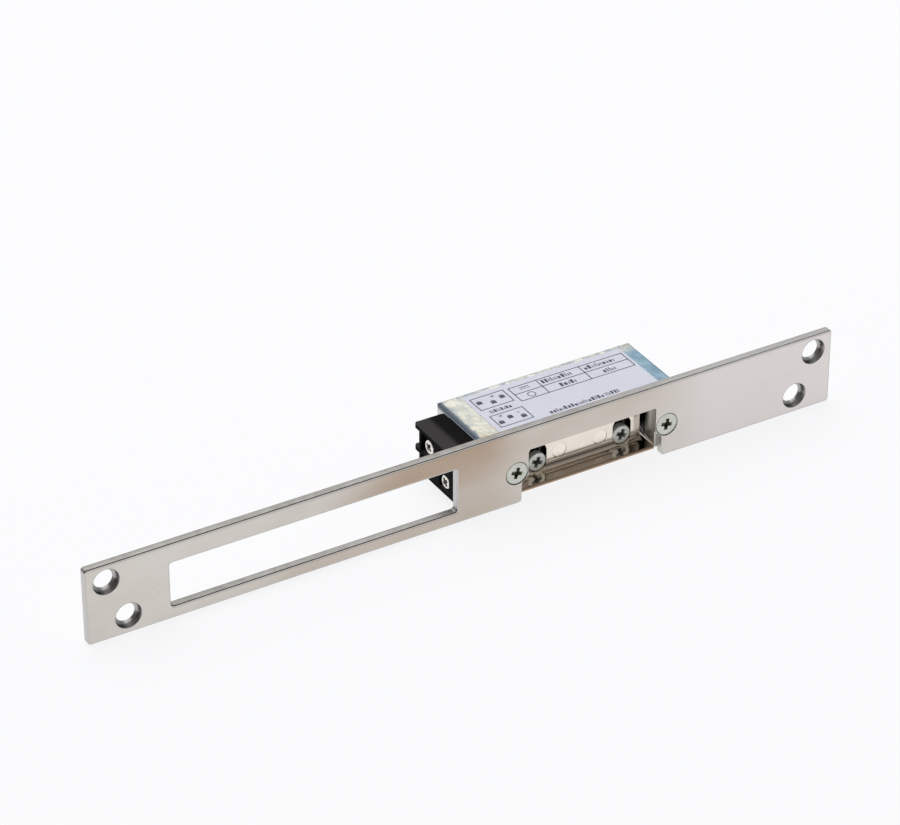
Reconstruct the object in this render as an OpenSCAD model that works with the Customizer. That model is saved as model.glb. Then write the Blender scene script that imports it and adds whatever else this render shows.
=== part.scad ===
// Electric door strike with a long faceplate, an adjustable swinging keeper
// and a magnet that locks the keeper while it is powered.
// Frame: X along the faceplate, Y from its front face into the door frame,
// Z up. The origin is the middle of the faceplate's front face.
// All sizes are in millimetres.

/* [Faceplate] */
// Length of the faceplate
plate_len = 250; // [230:1:300]
// Width of the faceplate
plate_h = 25; // [24:0.5:30]
// Thickness of the faceplate
plate_t = 2.5; // [2.3:0.1:4]
// Radius of the faceplate's corners
plate_r = 1; // [0.5:0.1:3]
// Diameter of the four fixing holes
fix_d = 6; // [4:0.1:6.5]
// Diameter of their countersinks at the front
fix_csk_d = 8.2; // [7:0.1:9.5]
// Distance of the outer fixing holes from the plate's ends
fix_outer = 6.5; // [5.5:0.25:10]
// Distance of the inner fixing holes from the plate's ends
fix_inner = 12.75; // [11:0.25:18]
// Distance of the fixing holes from the plate's long edges
fix_edge = 5.75; // [5:0.25:8]

/* [Bolt slot] */
// Length of the slot for the dead bolt
slot_len = 92.9; // [70:0.1:94]
// Height of the slot for the dead bolt
slot_h = 14.5; // [12:0.1:16]
// Distance of the slot from the plate's terminal end
slot_from_end = 26; // [24:0.5:30]
// Radius of the slot's corners
slot_r = 1; // [0.5:0.1:3]

/* [Strike body] */
// Middle of the latch opening, from the middle of the plate
strike_x = 40.2; // [39:0.1:45]
// Middle height of the strike body
axis_z = -1.8; // [-2.2:0.1:-1.6]
// Length of the strike body
body_len = 67.9; // [67.4:0.1:70]
// Height of the strike body
body_h = 17.6; // [17.4:0.1:18.4]
// Depth of the strike body behind the plate
body_d = 31; // [30.7:0.1:32.5]
// Thickness of the body's walls
wall_t = 2.2; // [2:0.1:2.4]
// Thickness of the body's floor
floor_t = 1.2; // [1:0.1:1.4]
// Thickness of the sheet cover
cover_t = 1.2; // [1:0.1:1.4]
// Radius of the cover's rounded edges
cover_r = 1.6; // [1.4:0.1:1.8]

/* [Latch opening] */
// Width of the opening's upper part
notch_w = 44.1; // [43:0.1:45]
// Width of the opening's lower part
notch_low_w = 48.6; // [48.4:0.1:49.4]
// Height of the opening's top above the body's middle
notch_up = 6.5; // [6:0.1:7]
// Distance of the plate screws from the opening's middle
plate_screw_dx = 26; // [25.9:0.05:26.5]
// Diameter of the plate screws' heads
plate_screw_head = 7.4; // [7:0.1:7.6]
// Thread diameter of the plate screws
plate_screw_d = 4; // [3.5:0.1:4]

/* [Keeper] */
// Sideways shift of the keeper from the opening's middle
keeper_dx = 0.6; // [0:0.1:0.8]
// Width of the keeper's lip
lip_w = 46; // [45:0.1:46.1]
// Width of the keeper's upright
upright_w = 42; // [38:0.1:42.4]
// Depth of the latch pocket behind the plate
pocket_d = 5.5; // [5:0.1:5.9]
// Thickness of the keeper's upright
upright_t = 3.2; // [3:0.1:3.4]
// Thickness of the keeper's lip
lip_t = 1.2; // [1:0.1:1.5]
// Radius between the lip and the upright
lip_fillet = 2.6; // [1:0.1:3]
// Distance between the adjusting screws
adjust_pitch = 29.4; // [28:0.1:30]
// Head diameter of the adjusting screws
adjust_head = 6.1; // [5.5:0.1:6.2]
// Thread diameter of the adjusting screws
adjust_d = 3; // [2.5:0.1:3]
// Travel of the keeper's adjustment
adjust_run = 3; // [1:0.1:3.2]
// Distance between the guide dowels
dowel_pitch = 14.1; // [12:0.1:16]
// Diameter of the guide dowels
dowel_d = 4.8; // [4:0.1:5]
// Diameter of the keeper's hinge pins
keeper_pin_d = 3; // [2.5:0.1:3.2]

/* [Terminal block] */
// How far the terminal block stands out of the body
term_out = 10.2; // [9:0.1:11]
// Thickness of its fins
fin_t = 1.2; // [1:0.1:1.4]
// How far the fins reach past its rear wall
fin_over = 3.2; // [2:0.1:3.4]
// Depth of its recesses
term_recess = 4; // [3.8:0.1:4.6]
// Head diameter of the terminal screws
term_head = 4.6; // [4:0.1:4.7]
// Thread diameter of the terminal screws
term_d = 2.5; // [2:0.1:2.6]

/* [Magnet] */
// Length of the bobbin
bobbin_len = 24; // [23.6:0.1:24.2]
// Size of the bobbin's square flanges
flange = 10.9; // [10.5:0.1:11.2]
// Outer diameter of the windings
winding_d = 10.2; // [9.5:0.1:10.6]
// Diameter of the core
core_d = 5; // [4:0.1:5.2]
// Thickness of the armature
armature_t = 1.6; // [1.4:0.1:1.7]
// Angle that the armature stands open at rest
armature_open = 5; // [4:0.1:5]
// Diameter of the armature's pin
armature_pin_d = 1.6; // [1.4:0.1:1.7]
// Diameter of the lever's pin
lever_pin_d = 2; // [1.8:0.1:2.2]

/* [Clearances] */
// Radial clearance of pins that turn
run_c = 0.05; // [0.03:0.01:0.08]
// Radial clearance of fixed pins and screws
fix_c = 0.01; // [0.005:0.005:0.02]
// Gap between faces that slide on each other
slide_c = 0.1; // [0.05:0.01:0.15]
// Gap around moving pieces
move_c = 0.3; // [0.2:0.05:0.35]

/* [Hidden] */
eps = 0.01;
steel = [0.78, 0.75, 0.72];
zinc = [0.80, 0.82, 0.80];
galvanised = [0.72, 0.80, 0.84];
nickel = [0.86, 0.84, 0.78];
plastic = [0.13, 0.12, 0.12];
brass = [0.80, 0.66, 0.36];
copper = [0.72, 0.40, 0.24];
iron = [0.52, 0.54, 0.56];
paper = [0.84, 0.84, 0.89];

// body limits
half = body_len / 2;
y0 = plate_t;
y1 = plate_t + body_d;
yi = y1 - wall_t;
zb = axis_z - body_h / 2;
zt = axis_z + body_h / 2;
zf = zb + floor_t;
zc = zt - cover_t;
cheek = notch_low_w / 2 - 0.95;
notch_top = axis_z + notch_up;
plate_screw_z = axis_z - 0.3;

// keeper limits
ky = plate_t + pocket_d;
kb = ky + upright_t;
lip_y = plate_t - 0.5;
lip_z = axis_z - 8.03;
upright_top = axis_z + 3.8;
adjust_z = lip_z + adjust_head / 2 + 0.18;
adjust_bore = adjust_head / 2 + 0.15;
head_h = 2;
adjust_cross = 3.6;
dowel_z = adjust_z + 1.7;
pivot_y = kb + 3;
pivot_z = adjust_z + 0.1;
web_y = kb + slide_c;
web_t = 2.6;
boss_t = 1.6;
ear_r = pivot_y - web_y - 0.1;
ear_w = 3.7;
k_left = -lip_w / 2;
k_right = lip_w / 2;
tail_t = 2;
tail_z = pivot_z - 1.1;
tail_y = pivot_y + 8.3;
tail_w = 3.2;
lug_y = pivot_y + 6.4;
spring_x = k_left + 2;
spring_y = pivot_y + 4.4;
pin_out = cheek + 4.6;
floor_open_y = pivot_y + 3;
block_y = pivot_y + 3.3;

// terminal limits
term_left = -half - term_out;
term_right = -cheek - 5;
term_deep = 23;
term_rear = y0 + term_deep;
term_first = 8.6;
term_pitch = 9.35;
term_col = [y0 + term_first, y0 + term_first + term_pitch];
recess_side = 2.6;
recess_wide = 3.35;
term_rim = 1.6;
term_row = [zc - 4.35, zf + 4.05];
term_mid = zc - 8.7;
recess_back = term_left + term_recess;
tag_z = -1.75;
tag_w = 2.4;
tag_t = 0.6;
tag_run = 7.8;
tag_turn = 1.2;
tag_end = term_right + 1.6;
tag_plate = 2.3;
tag_plate_h = 2.05;
tag_plate_t = 0.8;
clamp_t = 0.8;
term_head_h = 2;
term_screw_l = 8.6;
term_cross = 2.9;
head_x = recess_back - tag_plate_t - clamp_t - term_head_h;

// magnet limits
mag_y = yi - 7.3;
mag_z = axis_z;
bob_l = -14.6;
bob_r = bob_l + bobbin_len;
yoke_t = 2;
leg_t = 1.3;
yoke_w = 10;
yoke_front = 5.7;
yoke_screw_x = [-9, 4];
yoke_screw_d = 2.5;
yoke_head_d = 4.6;
yoke_cone = (yoke_head_d - yoke_screw_d) / 2;
pole_x = bob_r + 1.6;
arm_x = pole_x + slide_c + armature_t / 2;
arm_y = yi - 1.9;
arm_h = 9;
knuckle_r = armature_pin_d / 2 + 0.7;
lever_t = 2.5;
lever_z = tail_z + tail_t + 0.2;
nub_r = 0.8;
spring_back = 9;
nose_y = tail_y + move_c;
nose_w = 2.2;
nub_y = nose_y - 3.4;
arm_len = arm_y - nub_y + 1.2;
nub_x = arm_x + armature_t / 2 + tan(armature_open) * (arm_y - nub_y) + 0.12 + nub_r;
lever_x = nub_x + 1.3;
lever_y = nose_y + 0.8;
hub_r = lever_pin_d / 2 + 1.2;
post_x = k_right - tail_w - 1.8;
$fn = 48;

// Cylinder along X from x = 0.
module bar_x(r, l) {
    rotate([0, 90, 0]) cylinder(r = r, h = l);
}

// Cylinder along Y from y = 0, towards the rear.
module bar_y(r, l) {
    rotate([-90, 0, 0]) cylinder(r = r, h = l);
}

// Block given by its two corners.
module block(a, b) {
    translate(a) cube(b - a);
}

// Place pieces of the strike at the latch opening.
module at_strike() {
    translate([strike_x, 0, 0]) children();
}

// Plate lying in X and Z with round corners, from y = 0 to the rear.
module round_plate(w, h, t, r) {
    for (s = [-1, 1]) {
        translate([s * (w / 2 - r), 0, 0]) {
            for (v = [-1, 1]) {
                translate([0, 0, v * (h / 2 - r)]) bar_y(r, t);
            }
        }
    }
    block([-w / 2 + r, 0, -h / 2], [w / 2 - r, t, h / 2]);
    block([-w / 2, 0, -h / 2 + r], [w / 2, t, h / 2 - r]);
}

// Cross recess of a screw head, cut d deep into the face at y = 0.
module cross_y(w, d) {
    for (a = [0, 90]) {
        rotate([0, a, 0]) block([-w / 2, -1, -0.42], [w / 2, d, 0.42]);
    }
    for (a = [45, 135]) {
        rotate([0, a, 0]) block([-w * 0.36, -1, -0.16], [w * 0.36, d * 0.6, 0.16]);
    }
}

// Slot with round ends running down from z = 0, through y = a to y = b.
module run_slot(r, run, a, b) {
    translate([0, a, 0]) bar_y(r, b - a);
    translate([0, a, -run]) bar_y(r, b - a);
    block([-r, a, -run], [r, b, 0]);
}

// Points of an open coil along Z: mean radius, length, turns and wire radius.
function coil_point(r, len, turns, t) = [r * cos(360 * turns * t), r * sin(360 * turns * t), len * t];

// One unbroken wire wound along Z from z = 0.
module wound(r, len, turns, wire) {
    rings = turns * 12;
    rise = len / turns / (2 * PI * r);
    pts = [for (i = [0:rings]) for (k = [0:5])
        let (t = i / rings, a = 360 * turns * t, c = coil_point(r, len, turns, t), b = 60 * k)
        c + wire * cos(b) * [cos(a), sin(a), 0]
          + wire * sin(b) * [sin(a) * sin(atan(rise)), -cos(a) * sin(atan(rise)), cos(atan(rise))]];
    sides = [for (i = [0:rings - 1]) for (k = [0:5])
        let (p = i * 6 + k, q = i * 6 + (k + 1) % 6)
        each [[p, q + 6, q], [p, p + 6, q + 6]]];
    first = [for (k = [1:4]) [0, k, k + 1]];
    last = [for (k = [1:4]) [rings * 6, rings * 6 + k + 1, rings * 6 + k]];
    polyhedron(pts, concat(sides, first, last));
}

// Direction of the wire at point i of a list of points.
function unit(v) = v / norm(v);
function heading(p, i) = let (n = len(p) - 1)
    (i == 0) ? unit(p[1] - p[0])
    : (i == n) ? unit(p[n] - p[n - 1])
    : unit(unit(p[i] - p[i - 1]) + unit(p[i + 1] - p[i]));

// Round wire through a list of points.
module wire_run(p, r) {
    n = len(p) - 1;
    pts = [for (i = [0:n]) for (k = [0:7])
        let (d = heading(p, i), a = unit(cross(d, [0.2, 1, 0.1])), b = cross(d, a))
        p[i] + r * (cos(45 * k) * a + sin(45 * k) * b)];
    sides = [for (i = [0:n - 1]) for (k = [0:7])
        let (f = i * 8 + k, g = i * 8 + (k + 1) % 8)
        each [[f, g + 8, g], [f, f + 8, g + 8]]];
    first = [for (k = [1:6]) [0, k, k + 1]];
    last = [for (k = [1:6]) [n * 8, n * 8 + k + 1, n * 8 + k]];
    polyhedron(pts, concat(sides, first, last));
}

// Countersunk hole through the faceplate at x, z.
module fixing_hole(x, z) {
    cone = plate_t - 0.6;
    translate([x, -1, z]) bar_y(fix_d / 2, plate_t + 2);
    translate([x, 0, z]) rotate([-90, 0, 0]) cylinder(r1 = fix_csk_d / 2, r2 = fix_d / 2, h = cone);
}

// Outline of the latch opening, with a slanting step under each screw head
// and broken corners at the plate's edge.
module notch_outline() {
    low = -plate_h / 2;
    step_z = plate_screw_z - 3.9;
    w = notch_w / 2;
    l = notch_low_w / 2;
    right = [[w, notch_top], [w, step_z + l - w], [l, step_z], [l, low + 0.6], [l + 1.6, low - 1]];
    left = [for (i = [len(right) - 1:-1:0]) [-right[i][0], right[i][1]]];
    polygon(concat(left, right));
}

module faceplate() {
    seat_c = 0.13;
    seat = (plate_screw_head - plate_screw_d) / 2 + seat_c;
    color(steel) difference() {
        round_plate(plate_len, plate_h, plate_t, plate_r);
        for (s = [-1, 1]) {
            fixing_hole(s * (plate_len / 2 - fix_outer), plate_h / 2 - fix_edge);
            fixing_hole(s * (plate_len / 2 - fix_inner), fix_edge - plate_h / 2);
        }
        translate([slot_from_end + slot_len / 2 - plate_len / 2, -1, axis_z + 0.55])
            round_plate(slot_len, slot_h, plate_t + 2, slot_r);
        at_strike() {
            translate([0, plate_t + 1, 0]) rotate([90, 0, 0]) linear_extrude(plate_t + 2) notch_outline();
            for (s = [-1, 1]) {
                translate([s * plate_screw_dx, -1, plate_screw_z])
                    bar_y(plate_screw_d / 2 + fix_c, plate_t + 2);
                translate([s * plate_screw_dx, 0, plate_screw_z])
                    rotate([-90, 0, 0])
                        cylinder(r1 = plate_screw_head / 2 + seat_c, r2 = plate_screw_d / 2 + fix_c,
                                 h = seat);
            }
        }
    }
}

module plate_screws() {
    cone = (plate_screw_head - plate_screw_d) / 2;
    color(zinc) at_strike() for (s = [-1, 1]) {
        translate([s * plate_screw_dx, 0.1, plate_screw_z]) difference() {
            union() {
                rotate([-90, 0, 0])
                    cylinder(r1 = plate_screw_head / 2, r2 = plate_screw_d / 2, h = cone);
                bar_y(plate_screw_d / 2, 7.9);
            }
            cross_y(3.9, 1.5);
        }
    }
}

// Plan of the body from z = a to z = b, with round rear corners.
module body_plan(a, b, w, front, rear, r) {
    block([-w / 2, front, a], [w / 2, rear - r, b]);
    block([-w / 2 + r, front, a], [w / 2 - r, rear, b]);
    for (s = [-1, 1]) {
        translate([s * (w / 2 - r), rear - r, a]) cylinder(r = r, h = b - a);
    }
}

// Tabs of the cover that fold down over the rear wall, c wider all round.
module cover_tabs(c) {
    for (s = [-1, 1]) {
        translate([s * half * 0.55, y1, zc])
            block([-5 - c, -cover_t - c, -6 - c], [5 + c, c, eps]);
    }
}

module housing() {
    inner = half - wall_t;
    color(zinc) at_strike() difference() {
        union() {
            difference() {
                body_plan(zb, zc, body_len, y0, y1, 2);
                block([-inner, y0 - 1, zf], [inner, yi, zc + 1]);
                // mouth under the swinging keeper
                block([-cheek, y0 - 1, zb - 1], [cheek, floor_open_y, zf + 1]);
                // seat of the terminal block
                block([-half - 1, y0 - 1, zf], [term_right + 0.05, term_rear + 0.05, zc + 1]);
            }
            // end blocks that take the plate screws and the keeper's pins
            block([cheek, y0, zf - eps], [inner + eps, block_y, zc]);
            block([term_right + 0.05, y0, zf - eps], [-cheek, block_y, zc]);
            // seats under the magnet
            block([bob_l - 0.2 - yoke_t, mag_y - 4, zf - eps],
                  [bob_l - 0.2, yi + eps, mag_z - yoke_w / 2]);
            block([2, yi - leg_t - 0.1, zf - eps], [8, yi + eps, mag_z - yoke_w / 2]);
            // collars under the armature and the lever
            translate([arm_x, arm_y, zf - eps])
                cylinder(r = knuckle_r, h = mag_z - arm_h / 2 - 0.1 - zf);
            translate([lever_x, lever_y, zf - eps]) cylinder(r = hub_r - 0.2, h = lever_z - 0.1 - zf);
            // stops under the keeper's lug and tail
            block([k_left + 0.6, lug_y - 2.4, zf - eps],
                  [k_left + ear_w - 0.4, lug_y - 0.2, tail_z - slide_c]);
            block([k_right - tail_w + 0.4, tail_y - 2.2, zf - eps],
                  [k_right - 0.6, tail_y - 0.2, tail_z - slide_c]);
            // post that backs the lever's spring
            block([post_x, nub_y - 1.2, zf - eps], [post_x + 1.1, nub_y + 1.2, lever_z + lever_t]);
        }
        cover_tabs(0.05);
        for (s = [-1, 1]) {
            translate([s * plate_screw_dx, y0 - 1, plate_screw_z]) bar_y(plate_screw_d / 2 + fix_c, 7);
        }
        translate([-pin_out - 0.1, pivot_y, pivot_z]) bar_x(keeper_pin_d / 2 + fix_c, 2 * pin_out + 0.2);
        translate([arm_x, arm_y, zb + 0.6]) cylinder(r = armature_pin_d / 2 + fix_c, h = body_h);
        translate([lever_x, lever_y, zb + 0.6]) cylinder(r = lever_pin_d / 2 + fix_c, h = body_h);
        for (x = yoke_screw_x) {
            translate([x, y1 + eps, mag_z]) rotate([90, 0, 0]) {
                cylinder(r = yoke_screw_d / 2 + fix_c, h = wall_t + 1);
                cylinder(r1 = yoke_head_d / 2 + 0.05, r2 = yoke_screw_d / 2 + fix_c,
                         h = yoke_cone + 0.05);
            }
        }
    }
}

// What is cut away to round the cover's edges.
module cover_edges() {
    e = cover_r;
    for (s = [-1, 1]) {
        difference() {
            translate([s * half, y0 - 1, zt - e]) block([-e, 0, 0], [e, body_d + 2, e + 1]);
            translate([s * (half - e), y0 - 2, zt - e]) bar_y(e, body_d + 4);
        }
    }
    difference() {
        translate([-half - 1, y1, zt - e]) block([0, -e, 0], [body_len + 2, e, e + 1]);
        translate([-half - 2, y1 - e, zt - e]) bar_x(e, body_len + 4);
    }
}

module cover() {
    color(galvanised) at_strike() {
        difference() {
            body_plan(zc, zt, body_len, y0, y1, 2);
            cover_edges();
        }
        cover_tabs(0);
    }
}

module rating_label() {
    color(paper) at_strike()
        block([-half + 7.6, y0 + 1.3, zt], [half - 5.1, y1 - 2.5, zt + 0.1]);
}

// Plan of one fin of the terminal block, with its rear outer corner rounded.
module fin(z) {
    r = 1.6;
    rear = term_rear + fin_over;
    block([term_left, y0 + 0.3, z], [-half - 0.1, rear - r, z + fin_t]);
    block([term_left + r, y0 + 0.3, z], [-half - 0.1, rear, z + fin_t]);
    translate([term_left + r, rear - r, z]) cylinder(r = r, h = fin_t);
}

// Stamped strip of each terminal, c larger all round.
module tag_strip(col, row, c) {
    y = term_col[col];
    z = term_row[row] + tag_z;
    w = tag_w / 2 + c;
    h = tag_t / 2 + c;
    turn = recess_back + tag_run;
    block([recess_back - c, y - w, z - h], [(col == 1) ? tag_end : turn + c, y + w, z + h]);
    if (col == 0) {
        block([turn - tag_turn - c, y - w, z - h], [turn + c, block_y + 0.4 + tag_turn + c, z + h]);
        block([turn - tag_turn - c, block_y + 0.4 - c, z - h],
              [tag_end, block_y + 0.4 + tag_turn + c, z + h]);
    }
}

module terminal_block() {
    low = zf;
    color(plastic) at_strike() difference() {
        union() {
            block([recess_back, y0 + 0.3, low], [term_right, term_rear, zc]);
            block([term_left, y0 + 0.3, low], [recess_back + eps, term_col[0] - recess_side, zc]);
            block([term_left, term_col[0] + recess_side, low],
                  [recess_back + eps, term_col[1] - recess_wide, zc]);
            block([term_left, term_rear - fin_t, low], [recess_back + eps, term_rear, zc]);
            block([term_left, y0 + 0.3, low], [recess_back + eps, term_rear, low + term_rim]);
            fin(zc - fin_t);
            fin(term_mid);
        }
        for (c = [0, 1]) {
            for (r = [0, 1]) {
                tag_strip(c, r, 0.02);
                translate([recess_back - 1, term_col[c], term_row[r]])
                    bar_x(term_d / 2 + fix_c, term_screw_l - 2.4);
            }
        }
    }
}

module terminal_tags() {
    color(brass) at_strike() for (c = [0, 1]) {
        for (r = [0, 1]) {
            difference() {
                union() {
                    tag_strip(c, r, 0);
                    translate([recess_back - tag_plate_t, term_col[c], term_row[r]])
                        block([0, -tag_plate, -tag_plate_h], [tag_plate_t, tag_plate, tag_plate_h]);
                }
                translate([recess_back - 1, term_col[c], term_row[r]]) bar_x(term_d / 2 + fix_c, 2);
            }
        }
    }
}

module terminal_clamps() {
    color(nickel) at_strike() for (c = [0, 1]) {
        for (r = [0, 1]) {
            translate([recess_back - tag_plate_t - clamp_t, term_col[c], term_row[r]]) difference() {
                block([0, -tag_plate, -tag_plate_h], [clamp_t, tag_plate, tag_plate_h]);
                translate([-1, 0, 0]) bar_x(term_d / 2 + fix_c, 3);
            }
        }
    }
}

module terminal_screws() {
    color(nickel) at_strike() for (c = [0, 1]) {
        for (r = [0, 1]) {
            translate([head_x, term_col[c], term_row[r]]) difference() {
                union() {
                    bar_x(term_head / 2, term_head_h);
                    bar_x(term_d / 2, term_screw_l);
                }
                rotate([0, 0, -90]) cross_y(term_cross, 1);
            }
        }
    }
}

module magnet_yoke() {
    base = bob_l - 0.2 - yoke_t;
    low = mag_z - yoke_w / 2;
    color(iron) at_strike() difference() {
        union() {
            block([base, mag_y - yoke_front, low], [base + yoke_t, yi - 0.1, low + yoke_w]);
            block([base, yi - 0.1 - leg_t, low], [arm_x - knuckle_r - move_c, yi - 0.1, low + yoke_w]);
        }
        translate([base - 1, mag_y, mag_z]) bar_x(core_d / 2 + fix_c, yoke_t + 2);
        for (x = yoke_screw_x) {
            translate([x, yi - leg_t - 1, mag_z]) bar_y(yoke_screw_d / 2 + fix_c, leg_t + 2);
        }
    }
}

module yoke_screws() {
    color(zinc) at_strike() for (x = yoke_screw_x) {
        translate([x, y1, mag_z]) rotate([90, 0, 0]) difference() {
            union() {
                cylinder(r1 = yoke_head_d / 2, r2 = yoke_screw_d / 2, h = yoke_cone);
                cylinder(r = yoke_screw_d / 2, h = wall_t + leg_t + 0.1);
            }
            rotate([-90, 0, 0]) cross_y(2.4, 0.8);
        }
    }
}

module magnet_core() {
    base = bob_l - 0.2 - yoke_t;
    color(iron) at_strike() translate([0, mag_y, mag_z]) {
        translate([base, 0, 0]) bar_x(core_d / 2, pole_x - base);
        translate([pole_x - 1.4, 0, 0]) bar_x(core_d / 2 + 0.7, 1.4);
    }
}

module coil_bobbin() {
    color([0.90, 0.88, 0.82]) at_strike() translate([bob_l, mag_y, mag_z]) difference() {
        union() {
            bar_x(core_d / 2 + 1, bobbin_len);
            for (x = [0, (bobbin_len - 1) / 2, bobbin_len - 1]) {
                block([x, -flange / 2, -flange / 2], [x + 1, flange / 2, flange / 2]);
            }
        }
        translate([-1, 0, 0]) bar_x(core_d / 2 + 0.05, bobbin_len + 2);
    }
}

// One of the two windings, from x = a.
module winding(a) {
    l = (bobbin_len - 3) / 2 - 0.1;
    translate([bob_l + a + 0.05, mag_y, mag_z]) difference() {
        bar_x(winding_d / 2, l);
        translate([-1, 0, 0]) bar_x(core_d / 2 + 1.05, l + 2);
    }
}

module coil_winding_left() {
    color(copper) at_strike() winding(1);
}

module coil_winding_right() {
    color(copper) at_strike() winding((bobbin_len + 1) / 2);
}

module coil_leads() {
    r = 0.4;
    top = zc - r - 0.3;
    yf = block_y + 0.9;
    yr = term_col[1];
    end = term_right + 1.2;
    zu = term_row[0] + tag_z + 0.3 + r + 0.02;
    zl = term_row[1] + tag_z + 0.3 + r + 0.02;
    s = bob_l + 0.7;
    color([0.75, 0.16, 0.12]) at_strike() {
        wire_run([[s, mag_y - 1.7, top], [end + 4.4, mag_y - 1.7, top], [end, yf, zu]], r);
        wire_run([[s, mag_y - 0.5, top], [end + 4.4, mag_y - 0.5, top], [end, yr, zu]], r);
        wire_run([[s, mag_y + 0.7, top], [end + 3.2, mag_y + 0.7, top],
                  [end + 3.2, mag_y - 0.5, zl], [end + 0.2, yf, zl]], r);
        wire_run([[s, mag_y + 1.9, top], [end + 2.2, mag_y + 1.9, top],
                  [end + 2.2, mag_y + 0.5, zl], [end + 0.2, yr + 0.2, zl]], r);
    }
}

module keeper_pins() {
    color(iron) at_strike() {
        translate([k_right - ear_w - 0.6, pivot_y, pivot_z])
            bar_x(keeper_pin_d / 2, pin_out - k_right + ear_w + 0.6);
        translate([-pin_out, pivot_y, pivot_z])
            bar_x(keeper_pin_d / 2, pin_out + k_left + ear_w + 0.6);
    }
}

module keeper_spring() {
    low = tail_z + tail_t + 0.3;
    color(iron) at_strike() translate([spring_x, spring_y, low])
        wound(1.35, zc - 0.3 - low, 7, 0.25);
}

module armature_pin() {
    color(iron) at_strike() translate([arm_x, arm_y, zb + 0.6])
        cylinder(r = armature_pin_d / 2, h = zc - zb - 0.7);
}

module armature_spring() {
    from = bob_r + 0.3;
    y = arm_y - spring_back;
    to = pole_x + slide_c + tan(armature_open) * spring_back - 0.3;
    color(iron) at_strike() translate([from, y, mag_z + 3.2])
        rotate([0, 90, 0]) wound(0.9, to - from, 3, 0.16);
}

module lever_pin() {
    color(iron) at_strike() translate([lever_x, lever_y, zb + 0.6])
        cylinder(r = lever_pin_d / 2, h = zc - zb - 0.7);
}

module lever_spring() {
    from = nub_x + 1.25;
    color(iron) at_strike() translate([from, nub_y, lever_z + lever_t / 2])
        rotate([0, 90, 0]) wound(0.8, post_x - 0.3 - from, 2, 0.16);
}

module keeper_carrier() {
    color(zinc) at_strike() difference() {
        union() {
            block([keeper_dx - upright_w / 2 + 0.2, web_y, lip_z - 0.4],
                  [keeper_dx + upright_w / 2 - 0.2, web_y + web_t, upright_top - 0.5]);
            for (s = [-1, 1]) {
                translate([keeper_dx + s * adjust_pitch / 2, web_y, adjust_z])
                    bar_y(adjust_d / 2 + 1.1, web_t + boss_t);
            }
            // ears round the hinge pins
            translate([k_left, pivot_y, pivot_z]) bar_x(ear_r, ear_w);
            translate([k_right - ear_w, pivot_y, pivot_z]) bar_x(ear_r, ear_w);
            // tail that the blocking lever stops
            block([k_right - tail_w - 0.1, pivot_y, tail_z], [k_right - 0.1, tail_y, tail_z + tail_t]);
            // lug under the return spring
            block([k_left + 0.1, pivot_y, tail_z], [k_left + ear_w, lug_y, tail_z + tail_t]);
        }
        translate([k_left - 1, pivot_y, pivot_z]) bar_x(keeper_pin_d / 2 + run_c, lip_w + 2);
        for (s = [-1, 1]) {
            translate([keeper_dx + s * adjust_pitch / 2, web_y - 1, adjust_z])
                bar_y(adjust_d / 2 + fix_c, web_t + 6);
            translate([keeper_dx + s * dowel_pitch / 2, 0, dowel_z])
                run_slot(dowel_d / 2 + slide_c, adjust_run + 0.2, web_y - 1, web_y + web_t + 1);
        }
    }
}

module adjusting_screws() {
    color(zinc) at_strike() for (s = [-1, 1]) {
        translate([keeper_dx + s * adjust_pitch / 2, ky, adjust_z]) difference() {
            union() {
                bar_y(adjust_head / 2, head_h);
                bar_y(adjust_d / 2, web_y + web_t + boss_t - 0.1 - ky);
            }
            cross_y(adjust_cross, 1.3);
        }
    }
}

module keeper_plate() {
    f = lip_fillet;
    color(nickel) at_strike() difference() {
        union() {
            block([k_left, lip_y + lip_t / 2, lip_z - lip_t], [k_right, kb, lip_z]);
            translate([k_left, lip_y + lip_t / 2, lip_z - lip_t / 2]) bar_x(lip_t / 2, lip_w);
            block([keeper_dx - upright_w / 2, ky, lip_z - eps],
                  [keeper_dx + upright_w / 2, kb, upright_top]);
            // hollow curve between the lip and the upright
            difference() {
                block([keeper_dx - upright_w / 2, ky - f, lip_z - eps],
                      [keeper_dx + upright_w / 2, ky + eps, lip_z + f]);
                translate([-half, ky - f, lip_z + f]) bar_x(f, body_len);
            }
        }
        for (s = [-1, 1]) {
            translate([keeper_dx + s * adjust_pitch / 2, 0, adjust_z + adjust_run + 0.2]) {
                run_slot(adjust_bore, adjust_run + 0.2, lip_y, ky + head_h + 0.05);
                run_slot(adjust_d / 2 + 0.2, adjust_run + 0.2, ky, kb + 1);
            }
            translate([keeper_dx + s * dowel_pitch / 2, ky - f, dowel_z]) bar_y(dowel_d / 2 + fix_c, f + upright_t + 2);
        }
    }
}

module guide_dowels() {
    color(nickel) at_strike() for (s = [-1, 1]) {
        translate([keeper_dx + s * dowel_pitch / 2, ky, dowel_z])
            bar_y(dowel_d / 2, web_y + web_t - 0.2 - ky);
    }
}

module armature() {
    low = mag_z - arm_h / 2;
    color(iron) at_strike() translate([arm_x, arm_y, low]) rotate([0, 0, armature_open]) difference() {
        union() {
            cylinder(r = knuckle_r, h = arm_h);
            block([-armature_t / 2, -arm_len, 0], [armature_t / 2, 0, arm_h]);
        }
        translate([0, 0, -1]) cylinder(r = armature_pin_d / 2 + run_c, h = arm_h + 2);
    }
}

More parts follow.
